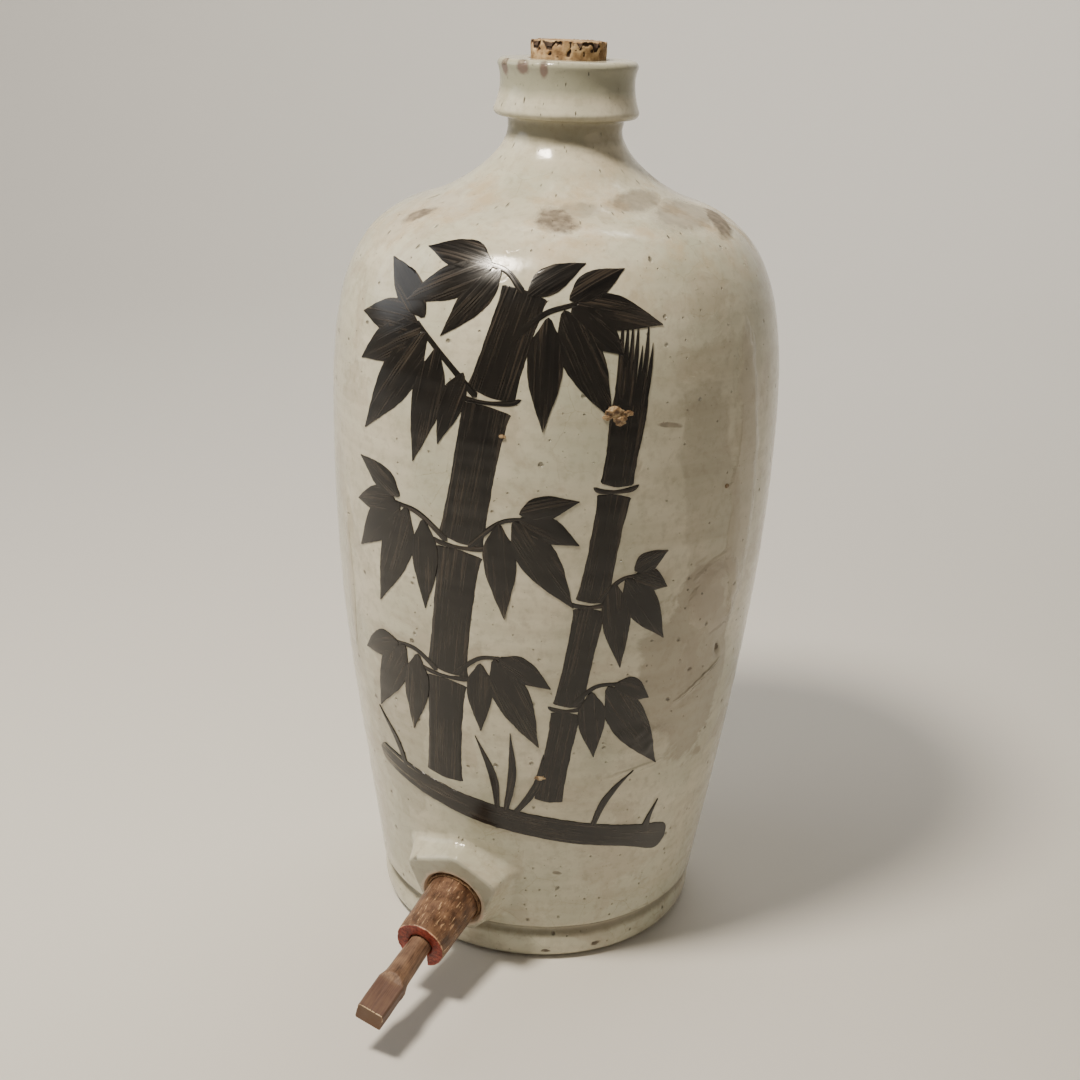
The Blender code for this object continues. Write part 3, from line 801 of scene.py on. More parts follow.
    # Bare clay: every knock, the rim's chips, the mouth's bore and the underside
    bare = None
    for mark in SCARS:
        mask = mark_mask(tree, position, mark, grain)
        bare = mask if bare is None else add_node(
            tree, "Math", {0: bare, 1: mask}, operation="MAXIMUM")
    for turn, height, out, size in CHIPS:
        angle = math.radians(turn)
        centre = on_jar(out, angle, height)
        gap = add_node(tree, "VectorMath", {0: position, 1: centre}, operation="DISTANCE")
        chip = add_node(tree, "MapRange", {
            "Value": gap, "From Min": size * 1.22 * MM, "From Max": size * 1.06 * MM})
        bare = add_node(tree, "Math", {0: bare, 1: chip}, operation="MAXIMUM")
    underside = add_node(tree, "MapRange", {
        "Value": split.outputs[2], "From Min": 1.4 * MM, "From Max": 0.5 * MM})
    flat_radius = add_node(tree, "VectorMath", {
        0: add_node(tree, "CombineXYZ", {
            0: split.outputs[0], 1: split.outputs[1]})}, operation="LENGTH")
    bore = add_node(tree, "MapRange", {
        "Value": flat_radius, "From Min": 17.6 * MM, "From Max": 16.8 * MM,
        "To Max": 0.75})
    for mask in (underside, bore):
        bare = add_node(tree, "Math", {0: bare, 1: mask}, operation="MAXIMUM")
    clay = add_node(tree, "Mix", {
        0: add_node(tree, "MapRange", {"Value": grain, "From Min": 0.38, "From Max": 0.62}),
        6: CLAY_DARK, 7: CLAY_BROWN}, data_type="RGBA")
    colour = add_node(tree, "Mix", {0: bare, 6: colour, 7: clay}, data_type="RGBA")

    # Pinkish, dry and mottled round the tap hole, where the glaze was wiped off
    along_tap = add_node(tree, "Mapping", {
        "Vector": position, "Location": tap_frame.translation,
        "Rotation": tap_frame.to_euler()}, vector_type="TEXTURE")
    tap_split = add_node(tree, "SeparateXYZ", {0: along_tap})
    from_line = add_node(tree, "VectorMath", {
        0: add_node(tree, "CombineXYZ", {
            0: tap_split.outputs[0], 1: tap_split.outputs[1]})}, operation="LENGTH")
    blur = add_node(tree, "Math", {0: grain, 1: 5 * MM, 2: from_line}, operation="MULTIPLY_ADD")
    ring = add_node(tree, "MapRange", {
        "Value": blur, "From Min": 19.8 * MM, "From Max": 17.4 * MM, "To Max": 0.72})
    front = add_node(tree, "MapRange", {
        "Value": tap_split.outputs[2], "From Min": 0.0, "From Max": 3 * MM})
    wiped = add_node(tree, "Math", {0: ring, 1: front}, operation="MULTIPLY")
    colour = add_node(tree, "Mix", {0: wiped, 6: colour, 7: BLUSH}, data_type="RGBA")

    # Painted shade: the boss's cut face, which faces out and a little down, away from the high lamp, is
    # painted greyer
    # how much painted shade the cut face gets
    facing = add_node(tree, "MapRange", {
        "Value": tap_split.outputs[2], "From Min": (BOSS_PROUD - 1.2) * MM,
        "From Max": (BOSS_PROUD - 0.5) * MM, "To Max": 0.50})
    painted_boss_face_shade = add_node(tree, "Math", {0: 1.0, 1: wiped}, operation="SUBTRACT")
    painted_boss_face_shade = add_node(tree, "Math", {0: painted_boss_face_shade, 1: facing}, operation="MULTIPLY")
    colour = add_node(tree, "Mix", {0: painted_boss_face_shade, 6: colour, 7: BOSS_FACE_SHADE}, data_type="RGBA")

    dry = add_node(tree, "Math", {0: bare, 1: wiped}, operation="MAXIMUM")
    rough = add_node(tree, "MapRange", {"Value": dry, "To Min": GLAZE_ROUGHNESS, "To Max": 0.62})
    thin = add_node(tree, "Math", {0: slid, 1: 0.35, 2: rough}, operation="MULTIPLY_ADD")
    peel = add_node(tree, "TexNoise", {
        "Vector": position, "Scale": 1 / (5 * MM), "Detail": 2.0, "Roughness": 0.4})
    height = add_node(tree, "Math", {0: peel, 1: 0.10}, operation="MULTIPLY")
    height = add_node(tree, "Math", {0: stain, 1: -0.25, 2: height}, operation="MULTIPLY_ADD")
    height = add_node(tree, "Math", {0: raised, 1: height}, operation="ADD")
    for dot, depth in dimples:
        height = add_node(tree, "Math", {0: dot, 1: depth, 2: height}, operation="MULTIPLY_ADD")
    dry_grain = add_node(tree, "Math", {0: dry, 1: grain}, operation="MULTIPLY")
    height = add_node(tree, "Math", {0: dry_grain, 1: 0.55, 2: height}, operation="MULTIPLY_ADD")
    bump = add_node(tree, "Bump", {"Strength": 1.0, "Distance": 1.0 * MM, "Height": height})
    shader = add_node(tree, "BsdfPrincipled", {
        "Base Color": colour, "Roughness": thin, "IOR": 1.5,
        "Normal": bump})
    add_node(tree, "OutputMaterial", {"Surface": shader})
    return made


jar = add_piece("jar", jar_shell(), glaze_material())
join_and_cut(jar, boss_block(), "UNION")
hole_line = [(HOLE_RADIUS, -26.0), (HOLE_RADIUS, BOSS_PROUD - 1.2),
             (HOLE_RADIUS + 0.3, BOSS_PROUD - 0.5), (HOLE_RADIUS + 0.9, BOSS_PROUD + 0.1),
             (HOLE_RADIUS + 2.2, BOSS_PROUD + 1.2), (HOLE_RADIUS + 2.2, BOSS_PROUD + 6.0)]


def worn_lip(angle, r, z):
    """The hole's mouth, rubbed unevenly wide."""
    if z <= BOSS_PROUD - 0.8:
        return 0.0
    return 0.25 * (1 + noise.noise((math.cos(angle) * 2, math.sin(angle) * 2, z)))


hole = turned_mesh("tap_hole", hole_line, 96, worn_lip, capped=True)
hole.transform(tap_frame)
join_and_cut(jar, hole, "DIFFERENCE")
smooth_shade(jar, 38)
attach(jar, "jar")
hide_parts("jar_body")


# ---------------------------------------------------------------------------------------------
# Brush painting: bamboo in iron pigment, put on the dry glaze with a broad wet brush before the
# firing. The pigment lies a little proud, splits into hair marks where the brush ran dry, and
# fires to a glossy brown-black. The plan is drawn flat and wrapped round the wall.

PAINT_MIDDLE = math.radians(9.0)    # the plan's upright centre line, turned from the tap
PAINT_RADIUS = 95.0                 # turns the plan's widths into turns round the jar
PAINT_LIFT = 0.12                   # pigment's thickness in millimetres
PAINT_LAYER = 0.005                 # each stroke lies this much above the one before
PAINT_STEP = 1.0
BRISTLES_ACROSS = (-1.0, -0.97, -0.8, -0.4, 0.0, 0.4, 0.8, 0.97, 1.0)

# Lengths up the wall's own curve, so that the plan isn't squeezed on the shoulder
CLIMB = [0.0]
for (r0, z0), (r1, z1) in zip(WALL_POINTS, WALL_POINTS[1:]):
    CLIMB.append(CLIMB[-1] + math.hypot(r1 - r0, z1 - z0))
belly_at = min(range(len(WALL_POINTS)), key=lambda i: abs(WALL_POINTS[i][1] - BELLY[1]))
CLIMB = [c - CLIMB[belly_at] + BELLY[1] for c in CLIMB]


def wall_height(climb):
    """The height at a place measured up the wall's curve, the two being equal at the belly."""
    i = min(max(bisect.bisect_left(CLIMB, climb), 1), len(CLIMB) - 1)
    share = (climb - CLIMB[i - 1]) / (CLIMB[i] - CLIMB[i - 1])
    return WALL_POINTS[i - 1][1] + (WALL_POINTS[i][1] - WALL_POINTS[i - 1][1]) * share


def flowing(corners):
    """Evenly spaced points on a smooth path through corners of (across, up, half width)."""
    points = [Vector(c) for c in corners]
    padded = [points[0] * 2 - points[1]] + points + [points[-1] * 2 - points[-2]]
    path = []
    for a, b, c, d in zip(padded, padded[1:], padded[2:], padded[3:]):
        count = max(2, round((c - b).to_2d().length / PAINT_STEP))
        for step in range(count):
            t = step / count
            path.append(0.5 * (2 * b + (c - a) * t + (2 * a - 5 * b + 4 * c - d) * t * t
                               + (3 * b - a - 3 * c + d) * t ** 3))
    return path + [points[-1]]


painting = bmesh.new()
brush_layer = painting.verts.layers.float_vector.new("brush")
dry_layer = painting.verts.layers.float.new("dry")
strokes_made = 0


def brush_stroke(corners, blunt=(0.0, 0.0), dry=(0.0, 0.0), ragged=0.30):
    """One stroke as a thin closed slab of pigment, its edges sunk in the glaze."""
    global strokes_made
    strokes_made += 1
    path = flowing(corners)
    length = (len(path) - 1) * PAINT_STEP
    rows = []
    for i, (x, y, half) in enumerate(path):
        before, after = path[max(i - 1, 0)], path[min(i + 1, len(path) - 1)]
        heading = (after - before).to_2d().normalized()
        gone, left = i * PAINT_STEP, length - i * PAINT_STEP
        for run, reach in ((gone, blunt[0]), (left, blunt[1])):
            if run < reach:
                half *= math.sqrt(max(0.02, 1.0 - (1.0 - run / reach) ** 2))
        dryness = max(dry[0] * (1.0 - gone / (0.4 * length)), dry[1] * (1.0 - left / (0.4 * length)), 0.0)
        row = []
        for across in BRISTLES_ACROSS:
            rough = ragged * min(1.0, half / 3.0) * (
                noise.noise((gone / 5.0, across * 0.6 + 9.0, strokes_made * 3.7))
                + 0.5 * noise.noise((gone / 1.3, across * 0.6, strokes_made * 5.1)))
            aside = across * (max(half, 0.10) + rough)
            px, py = x + heading.y * aside, y - heading.x * aside
            lift = PAINT_LIFT + PAINT_LAYER * strokes_made if abs(across) < 0.99 else -0.12
            lift *= 0.8 if abs(across) == 0.97 else 1.0
            spot = jar_spot(PAINT_MIDDLE + px / PAINT_RADIUS, wall_height(py), lift)
            made = painting.verts.new(spot)
            made[brush_layer] = (gone, aside, strokes_made * 1.0)
            made[dry_layer] = dryness
            row.append(made)
        rows.append(row)
    for first, second in zip(rows, rows[1:]):
        for i in range(len(BRISTLES_ACROSS) - 1):
            painting.faces.new((first[i], first[i + 1], second[i + 1], second[i]))
        painting.faces.new((first[-1], first[0], second[0], second[-1]))
    painting.faces.new(rows[0])
    painting.faces.new(list(reversed(rows[-1])))


def hair_marks(x, y, angle, width, count, reach, seed):
    """The split tail of a stroke whose brush ran dry: thin tapering marks side by side."""
    heading = Vector((math.cos(math.radians(angle)), math.sin(math.radians(angle))))
    side = Vector((heading.y, -heading.x))
    for k in range(count):
        place = (k + 0.5) / count - 0.5
        chance = noise.noise((k * 3.1, seed * 7.7, 0.5)) + 0.5
        far = reach * (0.35 + 0.85 * chance) * (1.15 - abs(place) * 0.5)
        start = Vector((x, y)) + side * place * width * 0.96 - heading * 13.0
        end = start + heading * (13.0 + far) + side * place * width * 0.22
        middle = (start + end) / 2 + side * place * 0.4
        half = width / count * (0.56 + 0.20 * chance)
        brush_stroke(((*start, half), (*middle, half * 0.85), (*(middle * 0.4 + end * 0.6), half * 0.5),
                      (*end, 0.10)), dry=(0.0, 0.7), ragged=0.15)


def culm(x0, y0, x1, y1, half, dry=(0.0, 0.0)):
    """One section of a bamboo stem, flared a little at both ends."""
    corners = [(x0 + (x1 - x0) * s, y0 + (y1 - y0) * s, half * k)
               for s, k in ((0, 1.14), (0.10, 1.0), (0.5, 0.93), (0.90, 1.0), (1, 1.16))]
    brush_stroke(corners, blunt=(2.2, 2.2), dry=dry)


def joint_mark(x, y, half):
    """The short curved stroke that marks a stem's joint."""
    brush_stroke(((x - half * 1.25, y + 1.7, 0.5), (x - half * 0.9, y + 0.2, 1.1), (x, y - 0.5, 0.8),
                  (x + half * 0.9, y + 0.3, 1.2), (x + half * 1.3, y + 2.0, 0.5)), blunt=(0.8, 0.8))


def leaf(x, y, angle, length, half, bend, dry=0.0):
    """One leaf: pressed down near its stalk and drawn out to a point."""
    corners = []
    half, length = half * 1.2, length * 1.06
    heading = Vector((math.cos(math.radians(angle)), math.sin(math.radians(angle))))
    side = Vector((-heading.y, heading.x))
    for share, weight in ((0, 0.14), (0.10, 0.46), (0.22, 0.86), (0.36, 1.0), (0.55, 0.88),
                          (0.74, 0.56), (0.90, 0.22), (1, 0.03)):
        spot = Vector((x, y)) + heading * length * share + side * bend * length * share ** 2
        corners.append((spot.x, spot.y, half * weight))
    brush_stroke(corners, blunt=(1.2, 0.0), dry=(0.0, dry))


# The front stem and the one behind it, from the ground up
for x0, y0, x1, y1 in ((-21, 97, -17, 150), (-16.5, 153, -10, 212), (-9.5, 215, 0, 274)):
    culm(x0, y0, x1, y1, 9.4)
culm(1, 277.5, 12, 320, 9.6, dry=(0.0, 0.30))
for x0, y0, x1, y1 in ((30, 92, 36, 140), (36.5, 142.5, 43, 190), (43.5, 192.5, 50, 240)):
    culm(x0, y0, x1, y1, 6.4)
brush_stroke(((50.5, 243, 6.8), (51.5, 252, 6.4), (54, 272, 7.2), (55.6, 287, 6.6)), blunt=(2, 2),
             dry=(0.0, 0.5))
hair_marks(56.0, 289.0, 84.0, 13.0, 7, 27.0, 3)
for x, y, half in ((-16.8, 151.5, 9.6), (-9.8, 213.5, 9.6), (0.5, 275.7, 9.8), (36.2, 141.2, 6.6),
                   (43.3, 191.2, 6.6), (50.3, 241.5, 7.0)):
    joint_mark(x, y, half)

# Side branches, from a joint outward
for corners in (((-4, 277, 1.5), (-18, 290, 1.2), (-34, 303, 1.0)),
                ((8, 300, 1.4), (20, 311, 1.2), (34, 316, 0.9)),
                ((11, 319, 1.5), (3, 327, 1.2), (-7, 330, 1.0)),
                ((-15, 215, 1.4), (-28, 224, 1.2), (-42, 226, 0.9)),
                ((-21, 153, 1.4), (-32, 160, 1.1), (-44, 160, 0.9)),
                ((46, 193, 1.2), (54, 202, 1.0), (62, 204, 0.8)),
                ((38, 143, 1.2), (47, 152, 1.0), (58, 153, 0.8)),
                ((-6, 214, 1.2), (6, 226, 1.0), (16, 229, 0.8)),
                ((-13, 153, 1.2), (-2, 163, 1.0), (8, 165, 0.8))):
    brush_stroke(corners, blunt=(0.8, 0.8))

# Leaves: foot across and up, heading in degrees, length, half width, bend, and how dry the tip
for plan in ((-33, 302, 176, 33, 6.4, 0.10, 0.5), (-31, 301, 206, 36, 7.4, 0.06, 0.0),
             (-28, 299, 238, 52, 7.8, -0.05, 0.0), (-22, 294, 262, 46, 6.2, -0.05, 0.3),
             (-30, 305, 138, 34, 5.8, 0.12, 0.0), (-5, 330, 166, 34, 6.2, 0.14, 0.0),
             (-4, 329, 204, 40, 6.8, 0.05, 0.2), (0, 328, 236, 34, 5.4, -0.04, 0.0),
             (-10, 286, 250, 30, 4.4, 0.04, 0.0),
             (33, 315, 352, 34, 6.0, -0.08, 0.3), (31, 314, 322, 26, 6.6, -0.06, 0.0),
             (28, 313, 292, 44, 7.0, 0.05, 0.0), (22, 310, 268, 42, 6.0, 0.03, 0.5),
             (13, 318, 42, 26, 5.0, -0.20, 0.2), (30, 317, 34, 26, 5.0, -0.10, 0.0),
             (-40, 226, 188, 25, 5.4, 0.08, 0.0), (-38, 226, 222, 36, 6.6, 0.05, 0.4),
             (-34, 225, 252, 48, 7.2, -0.05, 0.0), (-26, 222, 272, 38, 5.4, -0.03, 0.2),
             (-38, 229, 150, 26, 4.8, 0.10, 0.0),
             (14, 229, 340, 24, 5.0, -0.08, 0.2), (12, 228, 300, 42, 6.6, 0.05, 0.0),
             (6, 226, 272, 40, 5.6, 0.04, 0.4), (14, 231, 20, 22, 4.4, -0.08, 0.0),
             (60, 204, 338, 16, 4.6, -0.06, 0.0), (57, 203, 300, 34, 6.0, 0.04, 0.0),
             (52, 201, 276, 38, 5.2, 0.03, 0.4), (60, 206, 32, 15, 4.0, -0.08, 0.0),
             (-42, 160, 200, 26, 5.4, 0.08, 0.2), (-38, 160, 238, 42, 6.8, 0.04, 0.0),
             (-31, 158, 264, 38, 5.8, -0.04, 0.5),
             (7, 165, 332, 24, 5.0, -0.06, 0.0), (5, 164, 292, 44, 6.8, 0.05, 0.3),
             (-1, 161, 268, 32, 5.0, 0.03, 0.0),
             (56, 153, 334, 18, 5.0, -0.06, 0.2), (53, 152, 300, 50, 7.2, 0.05, 0.0),
             (46, 150, 274, 32, 5.2, 0.03, 0.0)):
    leaf(*plan)

# Grass at the foot, and the ground in one broad pull that ends in a pressed, blunt stop
for corners in (((6, 86, 1.2), (4, 104, 1.9), (-4, 124, 0.1)),
                ((10, 85, 1.2), (13, 106, 2.0), (12, 128, 0.1)),
                ((14, 84, 1.2), (24, 100, 1.9), (27, 118, 0.1)),
                ((52, 76, 1.2), (58, 92, 1.8), (70, 106, 0.1)),
                ((-44, 90, 1.2), (-50, 106, 1.8), (-62, 120, 0.1))):
    brush_stroke(corners, blunt=(0.8, 0.0))
brush_stroke(((-66, 96, 4.6), (-48, 92, 5.6), (-10, 84.5, 6.0), (34, 76.5, 6.2), (70, 69, 6.0),
              (86, 64.5, 7.0), (98, 60.5, 7.6)), blunt=(5.0, 7.0), dry=(0.55, 0.0))
brush_stroke(((82, 68, 3.0), (84, 76, 1.5), (88, 85, 0.1)))

painting_mesh = finished_mesh("brush_painting", painting)


def set_stops(ramp_node, low, *others):
    """Give a ramp its stops from low to high, each a place from 0 to 1 and a hex colour."""
    *between, high = others
    ends = ramp_node.color_ramp.elements
    for stop, (place, tint) in zip((ends[0], ends[1]), (low, high)):
        stop.position, stop.color = place, linear(tint)
    for place, tint in between:
        ends.new(place).color = linear(tint)


# Iron pigment fired into the glaze: brown-black and glossy where it pooled, streaked and brown
# where the bristles dragged, letting the pale glaze through where the brush was nearly dry.
PIGMENT_DEEP = "#12100f"
PIGMENT_BODY = "#1f1c19"
PIGMENT_THIN = "#3a332c"
PIGMENT_ROUGHNESS = 0.16
BRISTLE_WIDTH = 0.8                 # streaks, in millimetres across and along the stroke
BRISTLE_RUN = 34.0

iron_pigment, tree = new_material("brushed_iron_pigment")
brush = add_node(tree, "Attribute", attribute_name="brush").outputs["Vector"]
dry = add_node(tree, "Attribute", attribute_name="dry").outputs["Fac"]
position = add_node(tree, "TexCoord").outputs["Object"]
dragged = add_node(tree, "Mapping", {
    "Vector": brush, "Scale": (1 / BRISTLE_RUN, 1 / BRISTLE_WIDTH, 1.0)})
streak = add_node(tree, "TexNoise", {
    "Vector": dragged, "Scale": 1.0, "Detail": 3.0, "Roughness": 0.6})
broad = add_node(tree, "Mapping", {
    "Vector": brush, "Scale": (1 / (BRISTLE_RUN * 0.8), 1 / (BRISTLE_WIDTH * 4.5), 1.0)})
swathe = add_node(tree, "TexNoise", {"Vector": broad, "Scale": 1.0, "Detail": 2.0})
mixed = add_node(tree, "Math", {0: swathe, 1: 0.8, 2: streak}, operation="MULTIPLY_ADD")
body = add_node(tree, "ValToRGB", {0: add_node(tree, "MapRange", {
    "Value": mixed, "From Min": 0.70, "From Max": 1.12})})
set_stops(body, (0.0, PIGMENT_DEEP), (0.58, PIGMENT_BODY), (1.0, PIGMENT_THIN))
gap = add_node(tree, "Math", {0: dry, 1: 0.52, 2: streak}, operation="MULTIPLY_ADD")
colour, _ = lay_tints(tree, body, ((gap, 0.78, 0.88, 0.85, "#a59c86"),))
pinholes = add_node(tree, "TexVoronoi", {"Vector": position, "Scale": 1 / (6.0 * MM)})
chance = add_node(tree, "SeparateColor", {0: pinholes.outputs["Color"]})
hole_size = add_node(tree, "MapRange", {
    "Value": chance, "From Min": 0.6, "From Max": 1.0, "To Max": 0.07})
near = add_node(tree, "Math", {0: hole_size, 1: pinholes.outputs["Distance"]},
                operation="SUBTRACT")
pinhole = add_node(tree, "MapRange", {"Value": near, "From Min": 0.0, "From Max": 0.02})
relief = add_node(tree, "Math", {0: streak, 1: 0.10}, operation="MULTIPLY")
relief = add_node(tree, "Math", {0: pinhole, 1: -0.30, 2: relief}, operation="MULTIPLY_ADD")
bump = add_node(tree, "Bump", {"Strength": 0.6, "Distance": 1.0 * MM, "Height": relief})
gloss = add_node(tree, "MapRange", {
    "Value": streak, "From Min": 0.4, "From Max": 0.8, "To Min": PIGMENT_ROUGHNESS, "To Max": 0.34})
shader = add_node(tree, "BsdfPrincipled", {
    "Base Color": colour, "Roughness": gloss, "IOR": 1.5,
    "Normal": bump})
add_node(tree, "OutputMaterial", {"Surface": shader})

brush_painting = add_piece("brush_painting", painting_mesh, iron_pigment)
smooth_shade(brush_painting, 40)
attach(brush_painting, "jar")


# ---------------------------------------------------------------------------------------------
# Kiln grit: crumbs of fireclay that fell from the kiln roof and stuck in the melting glaze. The
# biggest sits across the rear stem's tail and burned golden brown.

# Turn from the tap in degrees, height, half width, half height and thickness in millimetres
CRUMBS = ((38.2, 274.0, 3.4, 2.0, 1.0), (39.6, 270.6, 2.6, 2.2, 1.1), (41.2, 273.0, 2.4, 1.1, 0.7),
          (36.6, 271.8, 1.8, 1.3, 0.6), (24.5, 106.0, 2.2, 1.2, 0.6), (13.0, 262.5, 1.3, 0.9, 0.5),
          (71.0, 236.0, 1.1, 0.9, 0.5), (118.0, 190.0, 2.2, 1.4, 0.8), (-71.0, 120.0, 1.6, 1.2, 0.6),
          (232.0, 96.0, 1.9, 1.3, 0.7), (168.0, 292.0, 1.4, 1.0, 0.5))

grit = bmesh.new()
for turn, height, wide, tall, thick in CRUMBS:
    angle = math.radians(turn)
    made = bmesh.ops.create_icosphere(grit, subdivisions=4, radius=1.0)["verts"]
    middle = jar_spot(angle, height, 0.25)
    outward = Vector((math.sin(angle), -math.cos(angle), 0.0))
    sideways = Vector((math.cos(angle), math.sin(angle), 0.0))
    for vert in made:
        lumpy = 1.0 + 0.42 * noise.noise(vert.co * 1.7 + Vector((turn, height, 0.0)))
        lumpy += 0.16 * noise.noise(vert.co * 5.0 + Vector((height, turn, 0.0)))
        spot = vert.co * lumpy
        vert.co = middle + (sideways * spot.x * wide + outward * spot.y * thick
                            + Vector((0.0, 0.0, spot.z * tall))) * MM
grit_mesh = finished_mesh("kiln_grit", grit, closed=False)

# Fireclay scorched in the glaze: golden where it melted, dark in its hollows, dry to the eye
scorched, tree = new_material("scorched_fireclay")
position = add_node(tree, "TexCoord").outputs["Object"]
crust = add_node(tree, "TexNoise", {
    "Vector": position, "Scale": 1 / (2.2 * MM), "Detail": 5.0, "Roughness": 0.65})
tone = add_node(tree, "ValToRGB", {0: crust})
set_stops(tone, (0.36, "#4a3626"), (0.50, "#8f7452"), (0.66, "#c9b48f"))
bump = add_node(tree, "Bump", {"Strength": 0.7, "Distance": 0.4 * MM, "Height": crust})
shader = add_node(tree, "BsdfPrincipled", {"Base Color": tone, "Roughness": 0.42, "Normal": bump})
add_node(tree, "OutputMaterial", {"Surface": shader})

kiln_grit = add_piece("kiln_grit", grit_mesh, scorched)
smooth_shade(kiln_grit, 60)
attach(kiln_grit, "jar")


# ---------------------------------------------------------------------------------------------
# Cork: an old cut cork pushed into the mouth, with seven millimetres of it above the rim. Its top
# edge has crumbled in ledges and its sides are pitted.

CORK_LOW = 369.6
CORK_TOP = 407.6
CORK_AT_RIM = 15.95
CORK_SLOPE = 0.047
CORK_COLUMNS = 200


def crumbled(angle):
    """How far the cork's edge has broken down at an angle, in millimetres."""
    x, y = math.cos(angle), math.sin(angle)
    ledge = noise.noise((x * 2.6, y * 2.6, 4.0)) + 0.5 * noise.noise((x * 7.0, y * 7.0, 9.0))
    nicks = noise.noise((x * 19.0, y * 19.0, 1.0))
    return 0.10 + 2.3 * min(1.0, max(0.0, (ledge + 0.02) * 3.0)) + 0.9 * max(0.0, nicks)


shape = bmesh.new()
crumb_layer = shape.verts.layers.float.new("crumb")
cork_rings = []
side_shares = [0.0, 0.02, 0.2, 0.5, 0.70] + [0.76 + 0.012 * k for k in range(21)]
for share in side_shares:
    ring = []
    for column in range(CORK_COLUMNS):
        angle = math.tau * column / CORK_COLUMNS
        top = CORK_TOP - crumbled(angle)
        z = CORK_LOW + (top - CORK_LOW) * share
        x, y = math.cos(angle), math.sin(angle)
        pit = max(0.0, noise.noise((x * 8.0, y * 8.0, z / 1.9)) - 0.28) * 2.6
        free = min(1.0, max(0.0, (z - 400.0) / 1.5))
        radius = CORK_AT_RIM + (z - 398.5) * CORK_SLOPE - (0.6 if share == 0.0 else 0.0)
        radius += free * (0.12 * noise.noise((x * 5.0, y * 5.0, z / 3.0)) - min(0.9, pit))
        torn_depth = 0.9 + 0.9 * noise.noise((x * 6.0, y * 6.0, 12.0))
        torn = max(0.0, min(1.0, 2.2 - (top - z) / torn_depth))
        torn *= min(1.0, max(0.0, 0.75 + 4.5 * noise.noise((x * 4.2, y * 4.2, 15.0))))
        radius -= 0.7 * torn * free
        made = shape.verts.new(on_line(radius, angle, z))
        made[crumb_layer] = max(min(1.0, pit * 1.6), torn) * free
        ring.append(made)
    cork_rings.append(ring)
for share in (0.985, 0.955, 0.92, 0.88, 0.83, 0.76, 0.64, 0.48, 0.30, 0.12):
    ring = []
    for column in range(CORK_COLUMNS):
        angle = math.tau * column / CORK_COLUMNS
        x, y = math.cos(angle) * share, math.sin(angle) * share
        rough = abs(noise.noise((x * 9.0, y * 9.0, 2.0))) * 0.5
        rough += abs(noise.noise((x * 30, y * 30, 5.0))) * 0.25
        inset = min(1.0, (1.0 - share) / (0.10 + 0.06 * noise.noise((x * 6.0, y * 6.0, 8.0))))
        drop = crumbled(angle) * (1.0 - inset) ** 0.5 + 0.12
        radius = (CORK_AT_RIM + 0.35) * share
        made = shape.verts.new(on_line(radius, angle, CORK_TOP - drop - rough * inset))
        made[crumb_layer] = min(1.0, drop / 1.3)
        ring.append(made)
    cork_rings.append(ring)
skin_over(shape, cork_rings)
cork_mesh = finished_mesh("cork", shape)

# Cork oak bark, cut: warm tan cells, streaky and dull, with dark brown pores and broken ledges
cork_bark, tree = new_material("cut_cork")
position = add_node(tree, "TexCoord").outputs["Object"]
crumb = add_node(tree, "Attribute", attribute_name="crumb").outputs["Fac"]
cells = add_node(tree, "TexNoise", {
    "Vector": position, "Scale": 1 / (5.0 * MM), "Detail": 7.0, "Roughness": 0.62})
tone = add_node(tree, "ValToRGB", {0: cells})
set_stops(tone, (0.34, "#6d5236"), (0.50, "#9c7f5a"), (0.70, "#cdb38a"))
pores = add_node(tree, "TexVoronoi", {
    "Vector": add_node(tree, "Mapping", {
        "Vector": position, "Scale": (1 / (2.4 * MM), 1 / (2.4 * MM), 1 / (1.4 * MM))}),
    "Scale": 1.0})
pore_chance = add_node(tree, "SeparateColor", {0: pores.outputs["Color"]})
pore_size = add_node(tree, "MapRange", {
    "Value": pore_chance, "From Min": 0.66, "From Max": 1.0, "To Max": 0.34})
inside = add_node(tree, "Math", {0: pore_size, 1: pores.outputs["Distance"]},
                  operation="SUBTRACT")
pore = add_node(tree, "MapRange", {
    "Value": inside, "From Min": 0.0, "From Max": 0.10, "To Max": 0.85})
hollow = add_node(tree, "Math", {0: crumb, 1: cells}, operation="MULTIPLY")
broken = add_node(tree, "MapRange", {
    "Value": hollow, "From Min": 0.19, "From Max": 0.30, "To Max": 0.96})
dark = add_node(tree, "Math", {0: pore, 1: broken}, operation="MAXIMUM")
colour = add_node(tree, "Mix", {0: dark, 6: tone, 7: "#2c1a0e"}, data_type="RGBA")
relief = add_node(tree, "Math", {0: pore, 1: -1.0, 2: cells}, operation="MULTIPLY_ADD")
bump = add_node(tree, "Bump", {"Strength": 0.9, "Distance": 0.5 * MM, "Height": relief})
shader = add_node(tree, "BsdfPrincipled", {
    "Base Color": colour, "Roughness": 0.82, "Normal": bump})
add_node(tree, "OutputMaterial", {"Surface": shader})

cork = add_piece("cork", cork_mesh, cork_bark)
smooth_shade(cork, 50)
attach(cork, "cork")
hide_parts("mouth_cork")


# ---------------------------------------------------------------------------------------------
# Packing: a strip of old paper wound round the barrel and driven into the hole with it, so that
# only its torn, sake-stained edge shows between the wood and the clay.

PACKING_OUTER = 13.75
PACKING_INNER = 12.85
PACKING_BACK = -7.5
PACKING_STEPS = 144

